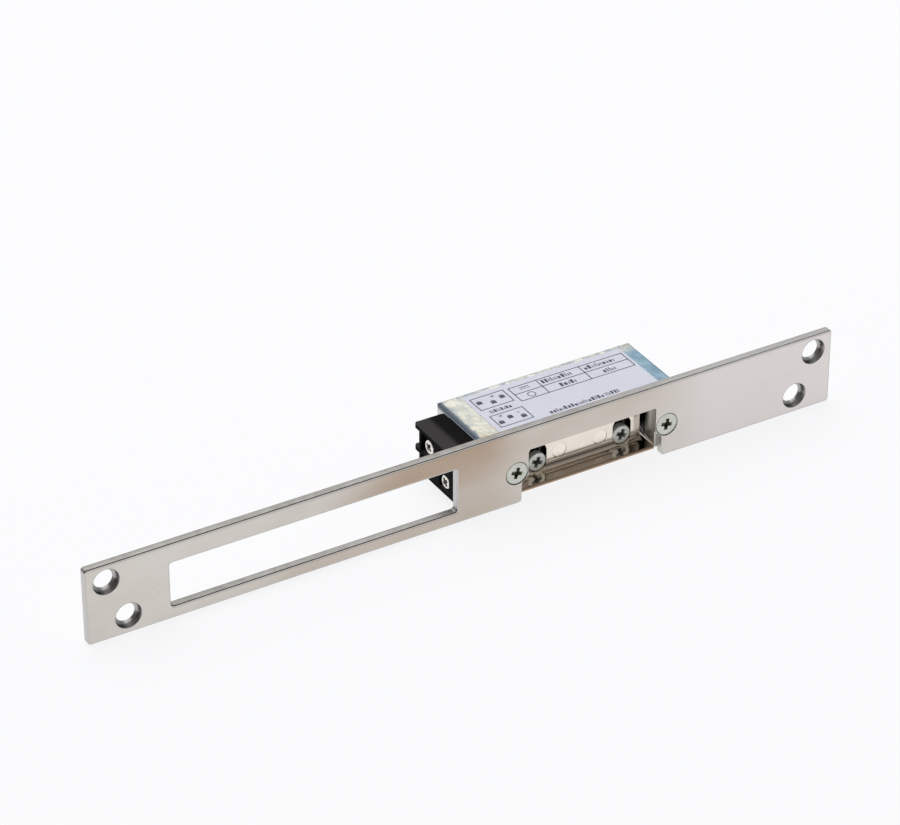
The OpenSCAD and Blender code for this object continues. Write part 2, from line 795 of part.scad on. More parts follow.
module blocking_lever() {
    nose_x = k_right - 0.4;
    color(iron) at_strike() translate([0, 0, lever_z]) difference() {
        union() {
            translate([lever_x, lever_y, 0]) cylinder(r = hub_r, h = lever_t);
            // arm that follows the armature
            block([nub_x - 0.3, nub_y, 0], [nub_x + 0.9, lever_y, lever_t]);
            translate([nub_x, nub_y, 0]) cylinder(r = nub_r, h = lever_t);
            // nose that drops behind the keeper's tail
            block([lever_x, nose_y, 0], [nose_x, nose_y + nose_w, lever_t]);
        }
        translate([lever_x, lever_y, -1]) cylinder(r = lever_pin_d / 2 + run_c, h = lever_t + 2);
    }
}

faceplate();
plate_screws();
housing();
cover();
rating_label();
terminal_block();
terminal_tags();
terminal_clamps();
terminal_screws();
magnet_yoke();
yoke_screws();
magnet_core();
coil_bobbin();
coil_winding_left();
coil_winding_right();
coil_leads();
keeper_pins();
keeper_spring();
armature_pin();
armature_spring();
lever_pin();
lever_spring();
keeper_carrier();
adjusting_screws();
keeper_plate();
guide_dowels();
armature();
blocking_lever();
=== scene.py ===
"""Looks of an electric door strike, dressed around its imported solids.

Sizes are given in millimetres in the part's own frame: X along the faceplate,
Y from its front face into the door frame, Z up.
"""

import logging
import math
import random
from dataclasses import dataclass, field
from enum import Enum, IntEnum
from typing import Callable, Iterable, Sequence

import bmesh
import bpy
from mathutils import Matrix, Vector
from mathutils.geometry import tessellate_polygon


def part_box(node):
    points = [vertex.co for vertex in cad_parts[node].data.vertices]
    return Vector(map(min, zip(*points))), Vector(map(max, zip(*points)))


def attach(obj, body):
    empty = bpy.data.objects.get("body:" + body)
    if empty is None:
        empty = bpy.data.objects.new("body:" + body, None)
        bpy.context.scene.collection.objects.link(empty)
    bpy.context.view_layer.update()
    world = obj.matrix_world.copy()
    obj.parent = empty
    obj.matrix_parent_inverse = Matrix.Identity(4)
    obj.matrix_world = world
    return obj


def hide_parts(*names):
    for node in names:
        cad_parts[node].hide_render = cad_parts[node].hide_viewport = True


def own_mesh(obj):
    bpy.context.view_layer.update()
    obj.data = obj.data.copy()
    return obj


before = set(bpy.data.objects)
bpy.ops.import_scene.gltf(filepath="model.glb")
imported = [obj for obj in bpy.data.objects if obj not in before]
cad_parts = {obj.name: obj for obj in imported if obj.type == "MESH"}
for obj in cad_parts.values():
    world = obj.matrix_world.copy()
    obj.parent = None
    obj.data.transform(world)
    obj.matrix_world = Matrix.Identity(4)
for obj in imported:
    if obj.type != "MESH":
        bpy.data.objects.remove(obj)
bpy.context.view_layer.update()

MM = 0.001
LOG = logging.getLogger("strike")

Point2 = tuple[float, float]
Point3 = tuple[float, float, float]
Colour = tuple[float, float, float]
Socket = bpy.types.NodeSocket
Value = Socket | float | Colour

# Mesh attribute that holds how deep a point lies in a screw's recess.
HOLLOW = "hollow"
# Colour sockets of the Mix node, whose names its other kinds share.
MIX_A, MIX_B, MIX_RESULT = 6, 7, 2
# Solids' points closer than this, in metres, are merged.
WELD = 2e-6
# Faces that turn by less than this are one face, and by more than that meet in an arris.
FLAT_ANGLE = math.radians(0.6)
ARRIS_ANGLE = math.radians(35.0)
EASE_STEPS = 3


class Body(Enum):
    """Moving bodies of the strike."""

    FRAME = "frame"
    KEEPER = "keeper"
    ADJUSTER = "adjuster"
    CLAPPER = "clapper"
    LEVER = "lever"


class Drive(Enum):
    """Shape of a screw's head."""

    COUNTERSUNK = "countersunk"
    CHEESE = "cheese"


class PlateSlot(IntEnum):
    """Material slots of the plate's mesh."""

    FACE = 0
    EDGE = 1
    SEAT = 2


# ---- node trees ----


class NodeTree:
    """A node tree, built one node at a time."""

    def __init__(self, tree: bpy.types.NodeTree) -> None:
        """Empty the tree.

        Args:
            tree: Tree of a material, a world or a modifier.
        """
        self.tree = tree
        self.tree.nodes.clear()

    def node(self, kind: str, **settings: object) -> bpy.types.Node:
        """Add a node and set its properties.

        Args:
            kind: Node type.
            settings: Properties of the node.

        Returns:
            The new node.
        """
        made = self.tree.nodes.new(kind)
        for key, value in settings.items():
            setattr(made, key, value)
        return made

    def link(self, source: Socket, target: Socket) -> None:
        """Link an output to an input."""
        self.tree.links.new(source, target)


class ShaderTree(NodeTree):
    """The node tree of a material or a world."""

    def feed(self, socket: Socket, value: Value) -> None:
        """Link a socket to an output, or set its value.

        Args:
            socket: Input socket.
            value: An output socket or a plain value.
        """
        if isinstance(value, Socket):
            self.link(value, socket)
        elif isinstance(value, tuple) and len(value) == 3 and socket.type == "RGBA":
            socket.default_value = (*value, 1.0)
        else:
            socket.default_value = value

    def split(self, vector: Socket) -> Sequence[Socket]:
        """Split a vector.

        Args:
            vector: The vector's socket.

        Returns:
            Its X, Y and Z sockets.
        """
        made = self.node("ShaderNodeSeparateXYZ")
        self.feed(made.inputs[0], vector)
        return made.outputs

    def span(self, value: Socket, low: float, high: float, to_low: float = 0.0,
             to_high: float = 1.0) -> Socket:
        """Map a value's range smoothly onto another.

        Args:
            value: Input socket.
            low: Lower end of the input.
            high: Upper end of the input.
            to_low: Result at the lower end.
            to_high: Result at the upper end.

        Returns:
            The result's socket.
        """
        made = self.node("ShaderNodeMapRange", interpolation_type="SMOOTHSTEP")
        self.feed(made.inputs["Value"], value)
        ends = (("From Min", low), ("From Max", high), ("To Min", to_low), ("To Max", to_high))
        for key, number in ends:
            made.inputs[key].default_value = number
        return made.outputs["Result"]

    def math(self, operation: str, a: Value, b: Value = 0.0, clamp: bool = False) -> Socket:
        """Combine two values.

        Args:
            operation: Name of the operation.
            a: First value.
            b: Second value.
            clamp: Keep the result between 0 and 1.

        Returns:
            The result's socket.
        """
        made = self.node("ShaderNodeMath", operation=operation, use_clamp=clamp)
        self.feed(made.inputs[0], a)
        self.feed(made.inputs[1], b)
        return made.outputs[0]

    def times(self, *factors: Value) -> Socket:
        """Product of several values.

        Args:
            factors: Sockets or numbers.

        Returns:
            The product's socket.
        """
        made = factors[0]
        for factor in factors[1:]:
            made = self.math("MULTIPLY", made, factor)
        return made

    def blend(self, factor: Value, a: Value, b: Value) -> Socket:
        """Mix two colours.

        Args:
            factor: Share of the second colour.
            a: First colour.
            b: Second colour.

        Returns:
            The mixed colour's socket.
        """
        made = self.node("ShaderNodeMix", data_type="RGBA")
        self.feed(made.inputs["Factor"], factor)
        self.feed(made.inputs[MIX_A], a)
        self.feed(made.inputs[MIX_B], b)
        return made.outputs[MIX_RESULT]

    def coloured(self, kind: str, colour: Colour) -> bpy.types.Node:
        """Add a shader of one colour.

        Args:
            kind: Node type.
            colour: Its colour.

        Returns:
            The new node.
        """
        made = self.node(kind)
        self.feed(made.inputs["Color"], colour)
        return made

    def either(self, factor: Socket, first: bpy.types.Node, second: bpy.types.Node) -> Socket:
        """Mix two shaders.

        Args:
            factor: Share of the second shader.
            first: First shader.
            second: Second shader.

        Returns:
            The mixed shader's socket.
        """
        made = self.node("ShaderNodeMixShader")
        for socket, source in zip(made.inputs, (factor, first.outputs[0], second.outputs[0])):
            self.link(source, socket)
        return made.outputs[0]


class Shader(ShaderTree):
    """A material on the part's own coordinates."""

    def __init__(self, name: str) -> None:
        """Start an empty material.

        Args:
            name: Name of the material.
        """
        self.material = bpy.data.materials.new(name)
        self.material.use_nodes = True
        super().__init__(self.material.node_tree)
        self.output = self.node("ShaderNodeOutputMaterial")
        self.object = self.node("ShaderNodeTexCoord").outputs["Object"]

    def mapped(self, scale: Point3, shift: Point3 = (0.0, 0.0, 0.0)) -> Socket:
        """Object coordinates, scaled and shifted.

        Args:
            scale: Scale along each axis.
            shift: Offset along each axis.

        Returns:
            The mapped vector's socket.
        """
        made = self.node("ShaderNodeMapping")
        self.feed(made.inputs["Vector"], self.object)
        made.inputs["Location"].default_value = shift
        made.inputs["Scale"].default_value = scale
        return made.outputs["Vector"]

    def noise(self, vector: Socket, scale: float, detail: float, rough: float) -> Socket:
        """Noise in the range 0 to 1.

        Args:
            vector: Coordinates.
            scale: Scale of the pattern.
            detail: Octaves.
            rough: Share of the finer octaves.

        Returns:
            The factor's socket.
        """
        made = self.node("ShaderNodeTexNoise")
        self.feed(made.inputs["Vector"], vector)
        made.inputs["Scale"].default_value = scale
        made.inputs["Detail"].default_value = detail
        made.inputs["Roughness"].default_value = rough
        return made.outputs["Fac"]

    def axes(self) -> Sequence[Socket]:
        """The object coordinates' X, Y and Z sockets."""
        return self.split(self.object)

    def stored(self, name: str) -> Socket:
        """A value that is stored on the mesh."""
        return self.node("ShaderNodeAttribute", attribute_name=name).outputs["Fac"]

    def facing(self) -> Sequence[Socket]:
        """Direction that a face looks in, in the part's frame.

        Returns:
            The normal's X, Y and Z sockets.
        """
        geometry = self.node("ShaderNodeNewGeometry")
        turn = self.node("ShaderNodeVectorTransform", vector_type="NORMAL", convert_from="WORLD",
                         convert_to="OBJECT")
        self.feed(turn.inputs[0], geometry.outputs["Normal"])
        return self.split(turn.outputs[0])

    def bump(self, height: Socket, strength: float, distance: float) -> Socket:
        """A bumped normal.

        Args:
            height: Height pattern.
            strength: Strength of the bump.
            distance: Depth in metres.

        Returns:
            The normal's socket.
        """
        made = self.node("ShaderNodeBump")
        made.inputs["Strength"].default_value = strength
        made.inputs["Distance"].default_value = distance
        self.feed(made.inputs["Height"], height)
        return made.outputs["Normal"]

    def surface(self, **inputs: Value) -> bpy.types.Material:
        """Close the tree with the surface shader.

        Args:
            inputs: Values or sockets by input name, with _ for a space.

        Returns:
            The finished material.
        """
        made = self.node("ShaderNodeBsdfPrincipled")
        for key, value in inputs.items():
            self.feed(made.inputs[key.replace("_", " ")], value)
        self.link(made.outputs[0], self.output.inputs["Surface"])
        return self.material


# ---- finishes ----


@dataclass(frozen=True)
class Finish:
    """A finish with mottled colour, uneven gloss and a fine grain."""

    name: str
    slot: str
    colour: Colour
    shade: Colour
    roughness: float
    metallic: float
    patch: float = 120.0
    grain: float = 2500.0
    stretch: Point3 = (1.0, 1.0, 1.0)
    depth: float = 0.00002
    uneven: float = 0.08
    specular: float = 0.5

    def tint(self, s: Shader) -> Socket:
        """Mottled colour of the finish.

        Args:
            s: The material's tree.

        Returns:
            The colour's socket.
        """
        patch = s.span(s.noise(s.object, self.patch, 4.0, 0.6), 0.3, 0.7)
        return s.blend(patch, self.colour, self.shade)

    def relief(self, s: Shader, grain: Socket) -> Socket:
        """Normal of the fine grain.

        Args:
            s: The material's tree.
            grain: The grain's pattern.

        Returns:
            The normal's socket.
        """
        return s.bump(grain, 0.25, self.depth)

    def material(self) -> bpy.types.Material:
        """Build the finish's material.

        Returns:
            The material.
        """
        s = Shader(self.name)
        grain = s.noise(s.mapped(self.stretch), self.grain, 2.0, 0.6)
        gloss = s.span(grain, 0.25, 0.75, self.roughness - self.uneven, self.roughness + self.uneven)
        return s.surface(
            Base_Color=self.tint(s),
            Roughness=gloss,
            Metallic=self.metallic,
            Specular_IOR_Level=self.specular,
            Normal=self.relief(s, grain),
        )


@dataclass(frozen=True)
class ScrewFinish(Finish):
    """Plated screw with painted shade in its recess, darker towards its bottom."""

    # Colour of the painted shade at the recess's bottom.
    recess_shade: Colour = (0.06, 0.065, 0.055)

    def tint(self, s: Shader) -> Socket:
        """Mottled colour, with painted shade that deepens into the recess.

        Args:
            s: The material's tree.

        Returns:
            The colour's socket.
        """
        # Painted shade, growing with the depth in the recess.
        deep = s.math("POWER", s.stored(HOLLOW), 0.35, clamp=True)
        return s.blend(deep, super().tint(s), self.recess_shade)


@dataclass(frozen=True)
class SatinPlate(Finish):
    """Satin steel brushed along the plate, browner in its middle, with a painted dark reflection along its
    top and the slot's sill.
    """

    warm: Colour = (0.40, 0.28, 0.19)
    # Grey of the brush lines and of the painted dark reflection.
    brush_line_and_reflection_dark: Colour = (0.30, 0.29, 0.28)
    pale: Colour = (0.715, 0.67, 0.655)
    warm_from: float = -0.064
    warm_slant: float = 1.4
    warm_to: float = 0.002
    warm_end: float = 0.085
    pale_from: float = 0.055
    # Width of the painted dark reflection band.
    reflection_band: float = 0.0014
    top_z: float = 0.0125
    slot_z: float = -0.0085
    slot_x: tuple[float, float] = (-0.099, -0.0061)

    def dark_arris_reflection(self, s: Shader) -> Socket:
        """Share of the painted dark reflection at the plate's top and at the slot's sill.

        Args:
            s: The material's tree.

        Returns:
            The share's socket.
        """
        x, _, z = s.axes()
        top = s.span(z, self.top_z - self.reflection_band, self.top_z, 0.0, 0.72)
        start, end = self.slot_x
        sill = s.times(s.span(z, self.slot_z - self.reflection_band, self.slot_z, 0.0, 0.72),
                       s.span(z, self.slot_z, self.slot_z + 0.0003, 1.0, 0.0),
                       s.span(x, start, start + 0.0005), s.span(x, end, end + 0.0005, 1.0, 0.0))
        return s.math("MAXIMUM", top, sill)

    def tint(self, s: Shader) -> Socket:
        """Cloudy colour that turns browner and then paler along the plate, with a painted dark reflection
        near its top and the slot's sill.

        Args:
            s: The material's tree.

        Returns:
            The colour's socket.
        """
        x, _, z = s.axes()
        cloud = s.span(s.noise(s.mapped((1.0, 1.0, 2.2)), self.patch, 4.0, 0.6), 0.32, 0.68)
        colour = s.blend(cloud, self.colour, self.shade)
        colour = s.blend(s.span(x, self.pale_from, self.pale_from + 0.03), colour, self.pale)
        slant = s.math("SUBTRACT", x, s.math("MULTIPLY", z, self.warm_slant))
        near = s.times(s.span(slant, self.warm_from, self.warm_from + 0.03),
                       s.span(x, self.warm_to, self.warm_to + 0.018, 1.0, 0.25),
                       s.span(x, self.warm_end - 0.03, self.warm_end, 1.0, 0.0),
                       s.span(z, -0.003, 0.009, 0.42, 1.0))
        stain = s.noise(s.mapped((0.5, 1.0, 1.0), (0.3, 0.0, 0.2)), 42.0, 3.0, 0.55)
        colour = s.blend(s.times(near, s.span(stain, 0.25, 0.75, 0.7, 1.0)), colour, self.warm)
        smear = s.noise(s.mapped((0.35, 1.0, 1.4), (0.7, 0.1, 0.0)), 95.0, 4.0, 0.65)
        colour = s.blend(s.span(smear, 0.55, 0.85, 0.0, 0.12), colour, self.warm)
        # Painted dark reflection along the plate's top and the slot's sill.
        colour = s.blend(self.dark_arris_reflection(s), colour, self.brush_line_and_reflection_dark)
        lines = s.noise(s.mapped((0.012, 1.0, 1.0)), 7000.0, 2.0, 0.7)
        return s.blend(s.span(lines, 0.45, 0.8, 0.0, 0.03), colour, self.brush_line_and_reflection_dark)


@dataclass(frozen=True)
class TintedZinc(Finish):
    """Plated sheet whose tint runs from cream at one end to blue at the other."""

    left_x: float = 0.00625
    right_x: float = 0.07415
    rear_y: float = 0.0335
    blue: Colour = (0.20, 0.31, 0.385)
    deep_blue: Colour = (0.12, 0.215, 0.29)
    gold: Colour = (0.46, 0.36, 0.19)
    brown: Colour = (0.22, 0.175, 0.12)
    # Colour of the painted dark reflection on the bend and the painted shade on the wall.
    bend_reflection_and_shade: Colour = (0.055, 0.08, 0.115)
    # Colour of the painted highlight line.
    glint: Colour = (0.40, 0.46, 0.54)
    glint_z: float = 0.0061

    def tint(self, s: Shader) -> Socket:
        """Mottled plating with a stain and a blue end, a painted dark reflection on the bend, painted shade
        on the left wall and a painted highlight line along its lower edge.

        Args:
            s: The material's tree.

        Returns:
            The colour's socket.
        """
        x, y, z = s.axes()
        flakes = s.noise(s.mapped((1.0, 1.0, 1.0)), 520.0, 5.0, 0.68)
        cloud = s.noise(s.mapped((1.0, 1.4, 1.0), (0.1, 0.4, 0.0)), 150.0, 5.0, 0.65)
        veins = s.noise(s.mapped((1.0, 1.0, 1.0), (0.9, 0.2, 0.5)), 800.0, 6.0, 0.75)
        colour = s.blend(s.span(flakes, 0.38, 0.62), self.colour, self.shade)
        left = s.span(x, self.left_x + 0.008, self.left_x + 0.016, 1.0, 0.0)
        front = s.span(y, 0.005, 0.024, 1.0, 0.10)
        colour = s.blend(s.times(s.span(cloud, 0.40, 0.62), left, front), colour, self.gold)
        vein = s.times(s.span(veins, 0.54, 0.66), left, s.span(y, 0.004, 0.016, 0.85, 0.10))
        colour = s.blend(vein, colour, self.brown)
        edge = s.math("MAXIMUM", s.span(y, self.rear_y - 0.004, self.rear_y - 0.001, 0.0, 0.45),
                      s.span(x, self.left_x + 0.001, self.left_x + 0.004, 0.45, 0.0))
        colour = s.blend(s.times(s.span(flakes, 0.42, 0.60), edge), colour, self.deep_blue)
        right = s.times(s.span(x, self.right_x - 0.0075, self.right_x - 0.004),
                        s.span(y, self.rear_y - 0.007, self.rear_y - 0.002, 1.0, 0.15))
        colour = s.blend(right, colour, s.blend(s.span(cloud, 0.36, 0.66), self.blue, self.deep_blue))
        corner = s.times(s.span(x, self.right_x - 0.009, self.right_x - 0.004),
                         s.span(veins, 0.48, 0.62, 0.0, 0.8),
                         s.span(y, self.rear_y - 0.007, self.rear_y - 0.002))
        colour = s.blend(corner, colour, self.brown)
        across, back, _ = s.facing()
        colour = s.blend(s.span(back, 0.25, 0.8, 0.0, 0.6), colour, self.brown)
        # Painted dark reflection on the rounded bend and painted shade on the left wall.
        curve = s.times(s.span(across, -0.30, -0.10, 1.0, 0.0), s.span(across, -0.95, -0.90))
        wall = s.math("MAXIMUM", s.span(across, -0.999, -0.985, 0.8, 0.0),
                      s.span(x, self.left_x + 0.0010, self.left_x + 0.0020, 0.95, 0.0))
        bend = s.math("MAXIMUM", curve, wall)
        colour = s.blend(s.math("MULTIPLY", bend, 0.92), colour, self.bend_reflection_and_shade)
        # Painted highlight line along the sheet's lower edge.
        off = s.math("ABSOLUTE", s.math("SUBTRACT", z, self.glint_z))
        line = s.times(s.span(off, 0.00008, 0.0002, 0.7, 0.0), s.span(across, -0.7, -0.4, 1.0, 0.0))
        return s.blend(line, colour, self.glint)


@dataclass(frozen=True)
class CastBox(Finish):
    """Zinc casting with painted shade, darker and duller, inside its cavity."""

    # Colour of the painted shade inside the box.
    inside: Colour = (0.045, 0.042, 0.040)
    low: Point3 = (0.0078, 0.0078, -0.0093)
    high: Point3 = (0.0725, 0.0319, 0.0060)

    def tint(self, s: Shader) -> Socket:
        """Mottled zinc, with painted shade within the cavity.

        Args:
            s: The material's tree.

        Returns:
            The colour's socket.
        """
        within = []
        for axis, low, high in zip(s.axes(), self.low, self.high):
            within += [s.span(axis, low - 0.0004, low), s.span(axis, high, high + 0.0001, 1.0, 0.0)]
        return s.blend(s.times(*within), super().tint(s), self.inside)


@dataclass(frozen=True)
class CutEdge(Finish):
    """Cut edge of the plate, with a painted dark reflection on its upper arris, painted light on the faces
    that don't look up, and paler at one end.
    """

    # Painted light on the faces that don't look up.
    side: Colour = (0.62, 0.605, 0.585)
    # Painted dark reflection on the upper front arris.
    arris: Colour = (0.06, 0.058, 0.056)
    far: Colour = (0.37, 0.36, 0.35)
    far_arris: Colour = (0.28, 0.27, 0.26)
    far_from: float = 0.02
    far_to: float = 0.10

    def tint(self, s: Shader) -> Socket:
        """Mottled colour with the painted dark reflection on the upper arris, and painted light where the
        edge doesn't look up.

        Args:
            s: The material's tree.

        Returns:
            The colour's socket.
        """
        _, back, up = s.facing()
        far = s.span(s.axes()[0], self.far_from, self.far_to)
        # Painted dark reflection on the upper front arris, then painted light on the sides.
        upper_arris_reflection = s.times(s.span(up, 0.75, 0.97, 1.0, 0.0), s.span(back, -0.15, -0.05, 1.0, 0.0))
        top = s.blend(far, super().tint(s), self.far)
        colour = s.blend(upper_arris_reflection, top, s.blend(far, self.arris, self.far_arris))
        return s.blend(s.span(up, 0.05, 0.25, 1.0, 0.0), colour, self.side)


@dataclass(frozen=True)
class Moulding(Finish):
    """Black moulding with a painted sheen on its top at its outer end."""

    top_sheen: Colour = (0.045, 0.041, 0.041)
    sheen_to: float = 0.0
    dark_from: float = 0.0022

    def tint(self, s: Shader) -> Socket:
        """Black with the painted sheen at the top's outer end.

        Args:
            s: The material's tree.

        Returns:
            The colour's socket.
        """
        # Painted sheen on the up-facing top at the outer end, gone towards the cover.
        outer = s.span(s.axes()[0], self.sheen_to, self.dark_from, 1.0, 0.0)
        return s.blend(s.times(outer, s.span(s.facing()[2], 0.5, 0.9)), super().tint(s), self.top_sheen)


@dataclass(frozen=True)
class Leaning(Finish):
    """Finish of an upright that leans back a little."""

    lean: float = 0.06

    def relief(self, s: Shader, grain: Socket) -> Socket:
        """Normal of the grain on the leaning face.

        Args:
            s: The material's tree.
            grain: The grain's pattern.

        Returns:
            The normal's socket.
        """
        fall = s.math("MULTIPLY", s.axes()[2], -self.lean)
        return s.bump(s.math("ADD", fall, s.math("MULTIPLY", grain, self.depth)), 1.0, 1.0)


@dataclass(frozen=True)
class PolishedKeeper(Leaning):
    """Polished keeper, browner in its hollow curve, with a painted dark reflection on its fold and painted
    shade inside its slots.
    """

    hollow: Colour = (0.82, 0.69, 0.58)
    # Colour of the painted dark reflection on the fold.
    fold_dark_reflection: Colour = (0.20, 0.165, 0.135)
    rim: Colour = (0.40, 0.29, 0.20)
    # Colour of the painted shade inside the slots.
    inside: Colour = (0.05, 0.044, 0.038)
    curve_z: float = -0.0073
    fold_z: float = -0.0086
    rim_y: float = 0.0024
    face_y: float = 0.0080
    slots: tuple[float, float] = (0.0261, 0.0555)
    slot_half: float = 0.0042

    def tint(self, s: Shader) -> Socket:
        """Mottled colour with the browner hollow curve, a painted dark reflection on the fold and painted
        shade on the slots' walls.

        Args:
            s: The material's tree.

        Returns:
            The colour's socket.
        """
        x, y, z = s.axes()
        low = s.span(z, self.curve_z - 0.0004, self.curve_z + 0.0002, 1.0, 0.0)
        colour = s.blend(low, super().tint(s), self.hollow)
        # Painted dark reflection on the hollow curve's fold.
        above = s.span(z, self.fold_z - 0.0004, self.fold_z + 0.0003)
        fold_dark_reflection = s.times(above, s.span(z, self.curve_z - 0.0004, self.curve_z + 0.0001, 1.0, 0.0))
        colour = s.blend(fold_dark_reflection, colour, self.fold_dark_reflection)
        colour = s.blend(s.span(y, self.rim_y - 0.0003, self.rim_y + 0.0003, 1.0, 0.0), colour, self.rim)
        # Painted shade on the slots' walls.
        behind = s.span(y, self.face_y + 0.0002, self.face_y + 0.0006)
        for middle in self.slots:
            away = s.math("ABSOLUTE", s.math("SUBTRACT", x, middle))
            near = s.times(behind, s.span(away, self.slot_half, self.slot_half + 0.0003, 1.0, 0.0))
            colour = s.blend(near, colour, self.inside)
        return colour


class Finishes:
    """The finishes of the strike's pieces, each built once."""

    PLATE = SatinPlate("satin_plate", "faceplate", (0.62, 0.58, 0.53), (0.67, 0.635, 0.59), 0.25, 1.0,
                       patch=26.0, grain=7000.0, stretch=(0.012, 1.0, 1.0), depth=0.000001, uneven=0.02)
    EDGE = CutEdge("cut_edge", "faceplate", (0.235, 0.225, 0.21), (0.295, 0.285, 0.27), 0.46, 1.0,
                   patch=300.0, grain=1500.0, stretch=(0.04, 1.0, 0.04), depth=0.000006, uneven=0.06)
    SEAT = CutEdge("turned_seat", "faceplate", (0.23, 0.225, 0.22), (0.29, 0.285, 0.28), 0.30, 1.0,
                   patch=300.0, grain=4000.0, depth=0.000006, side=(0.42, 0.41, 0.40),
                   far=(0.25, 0.245, 0.24), arris=(0.15, 0.145, 0.14), far_arris=(0.19, 0.185, 0.18))
    SCREW = ScrewFinish("pale_zinc", "screws", (0.54, 0.56, 0.495), (0.62, 0.635, 0.58), 0.30, 1.0,
                        patch=450.0, depth=0.000008, recess_shade=(0.30, 0.29, 0.23))
    CASTING = CastBox("zinc_casting", "housing", (0.62, 0.62, 0.59), (0.70, 0.695, 0.66), 0.40, 1.0,
                      patch=200.0, grain=1800.0, depth=0.00003)
    CARRIER = Finish("dark_carrier", "housing", (0.06, 0.054, 0.048), (0.085, 0.077, 0.068), 0.42, 1.0,
                     patch=200.0, grain=1800.0, depth=0.00003)
    COVER = TintedZinc("tinted_zinc", "cover", (0.57, 0.555, 0.485), (0.42, 0.44, 0.415), 0.33, 0.55,
                       patch=200.0, grain=520.0, depth=0.00001)
    FILM = Finish("label_film", "label", (0.60, 0.605, 0.70), (0.625, 0.63, 0.72), 0.38, 0.0,
                  patch=160.0, grain=5000.0, depth=0.000003, uneven=0.05, specular=0.3)
    INK = Finish("label_ink", "label", (0.045, 0.045, 0.07), (0.075, 0.075, 0.105), 0.5, 0.0,
                 patch=900.0, specular=0.3)
    PLASTIC = Moulding("black_plastic", "terminal_plastic", (0.005, 0.0045, 0.0045), (0.007, 0.006, 0.006),
                       0.5, 0.0, patch=260.0, grain=3200.0, specular=0.015)
    BRASS = Finish("stamped_brass", "brass", (0.68, 0.50, 0.22), (0.60, 0.42, 0.17), 0.28, 1.0)
    NICKEL = ScrewFinish("bright_nickel", "bright_nickel", (0.84, 0.82, 0.77), (0.76, 0.74, 0.69), 0.20, 1.0,
                         patch=300.0, uneven=0.05)
    KEEPER = PolishedKeeper("polished_keeper", "bright_nickel", (0.88, 0.82, 0.735), (0.81, 0.745, 0.655),
                            0.14, 1.0, patch=60.0, grain=1400.0, stretch=(0.05, 1.0, 1.0),
                            depth=0.000003, uneven=0.04)
    DOWEL = Leaning("worn_dowel", "bright_nickel", (0.93, 0.88, 0.80), (0.87, 0.81, 0.73), 0.16, 1.0,
                    patch=300.0)
    ADJUST = ScrewFinish("dull_zinc", "screws", (0.88, 0.92, 0.84), (0.95, 0.97, 0.91), 0.45, 0.35,
                         patch=450.0, depth=0.000008)
    IRON = Finish("soft_iron", "iron", (0.30, 0.30, 0.31), (0.22, 0.22, 0.235), 0.45, 1.0)
    BOBBIN = Finish("bobbin_plastic", "bobbin_plastic", (0.72, 0.69, 0.58), (0.68, 0.65, 0.54), 0.45, 0.0)
    COPPER = Finish("copper_wire", "copper", (0.52, 0.20, 0.09), (0.43, 0.15, 0.07), 0.30, 1.0, patch=700.0)
    LEAD = Finish("red_insulation", "lead_insulation", (0.42, 0.02, 0.015), (0.34, 0.018, 0.014), 0.45, 0.0)
    PIN = Finish("ground_steel", "pin_steel", (0.52, 0.53, 0.54), (0.46, 0.47, 0.48), 0.22, 1.0)
    SPRING = Finish("spring_wire", "spring_steel", (0.44, 0.45, 0.47), (0.36, 0.37, 0.39), 0.26, 1.0,
                    patch=900.0)

    _made: dict[str, bpy.types.Material] = {}

    @classmethod
    def get(cls, finish: Finish) -> bpy.types.Material:
        """Material of a finish, built on first use.

        Args:
            finish: The finish.

        Returns:
            Its material.
        """
        if finish.name not in cls._made:
            cls._made[finish.name] = finish.material()
        return cls._made[finish.name]


# ---- mesh helpers ----


def add_object(name: str, mesh: bpy.types.Mesh) -> bpy.types.Object:
    """Link a mesh into the scene at the origin.

    Args:
        name: Name of the piece.
        mesh: Its mesh.

    Returns:
        The new object.
    """
    made = bpy.data.objects.new(name, mesh)
    bpy.context.scene.collection.objects.link(made)
    return made


def settle(obj: bpy.types.Object) -> bpy.types.Object:
    """Turn an object's modifiers into a plain mesh.

    Args:
        obj: Object with modifiers.

    Returns:
        The same object, without modifiers.
    """
    bpy.context.view_layer.update()
    evaluated = obj.evaluated_get(bpy.context.evaluated_depsgraph_get())
    mesh = bpy.data.meshes.new_from_object(evaluated)
    obj.modifiers.clear()
    obj.data = mesh
    return obj


def smooth(obj: bpy.types.Object, degrees: float = 32.0) -> bpy.types.Object:
    """Shade an object smooth, with sharp edges past an angle.

    Args:
        obj: The object.
        degrees: Angle past which an edge stays sharp.

    Returns:
        The same object.
    """
    obj.data.shade_smooth()
    obj.data.set_sharp_from_angle(angle=math.radians(degrees))
    return obj


def drop(objects: Iterable[bpy.types.Object]) -> None:
    """Delete helper objects and their meshes.

    Args:
        objects: The helper objects.
    """
    for obj in objects:
        mesh = obj.data
        bpy.data.objects.remove(obj)
        bpy.data.meshes.remove(mesh)


def mesh_from(bm: bmesh.types.BMesh, name: str) -> bpy.types.Mesh:
    """Close a bmesh into a mesh whose faces point outwards.

    Args:
        bm: Source, which is freed.
        name: Name of the mesh.

    Returns:
        The mesh.
    """
    bmesh.ops.recalc_face_normals(bm, faces=bm.faces)
    mesh = bpy.data.meshes.new(name)
    bm.to_mesh(mesh)
    bm.free()
    return mesh


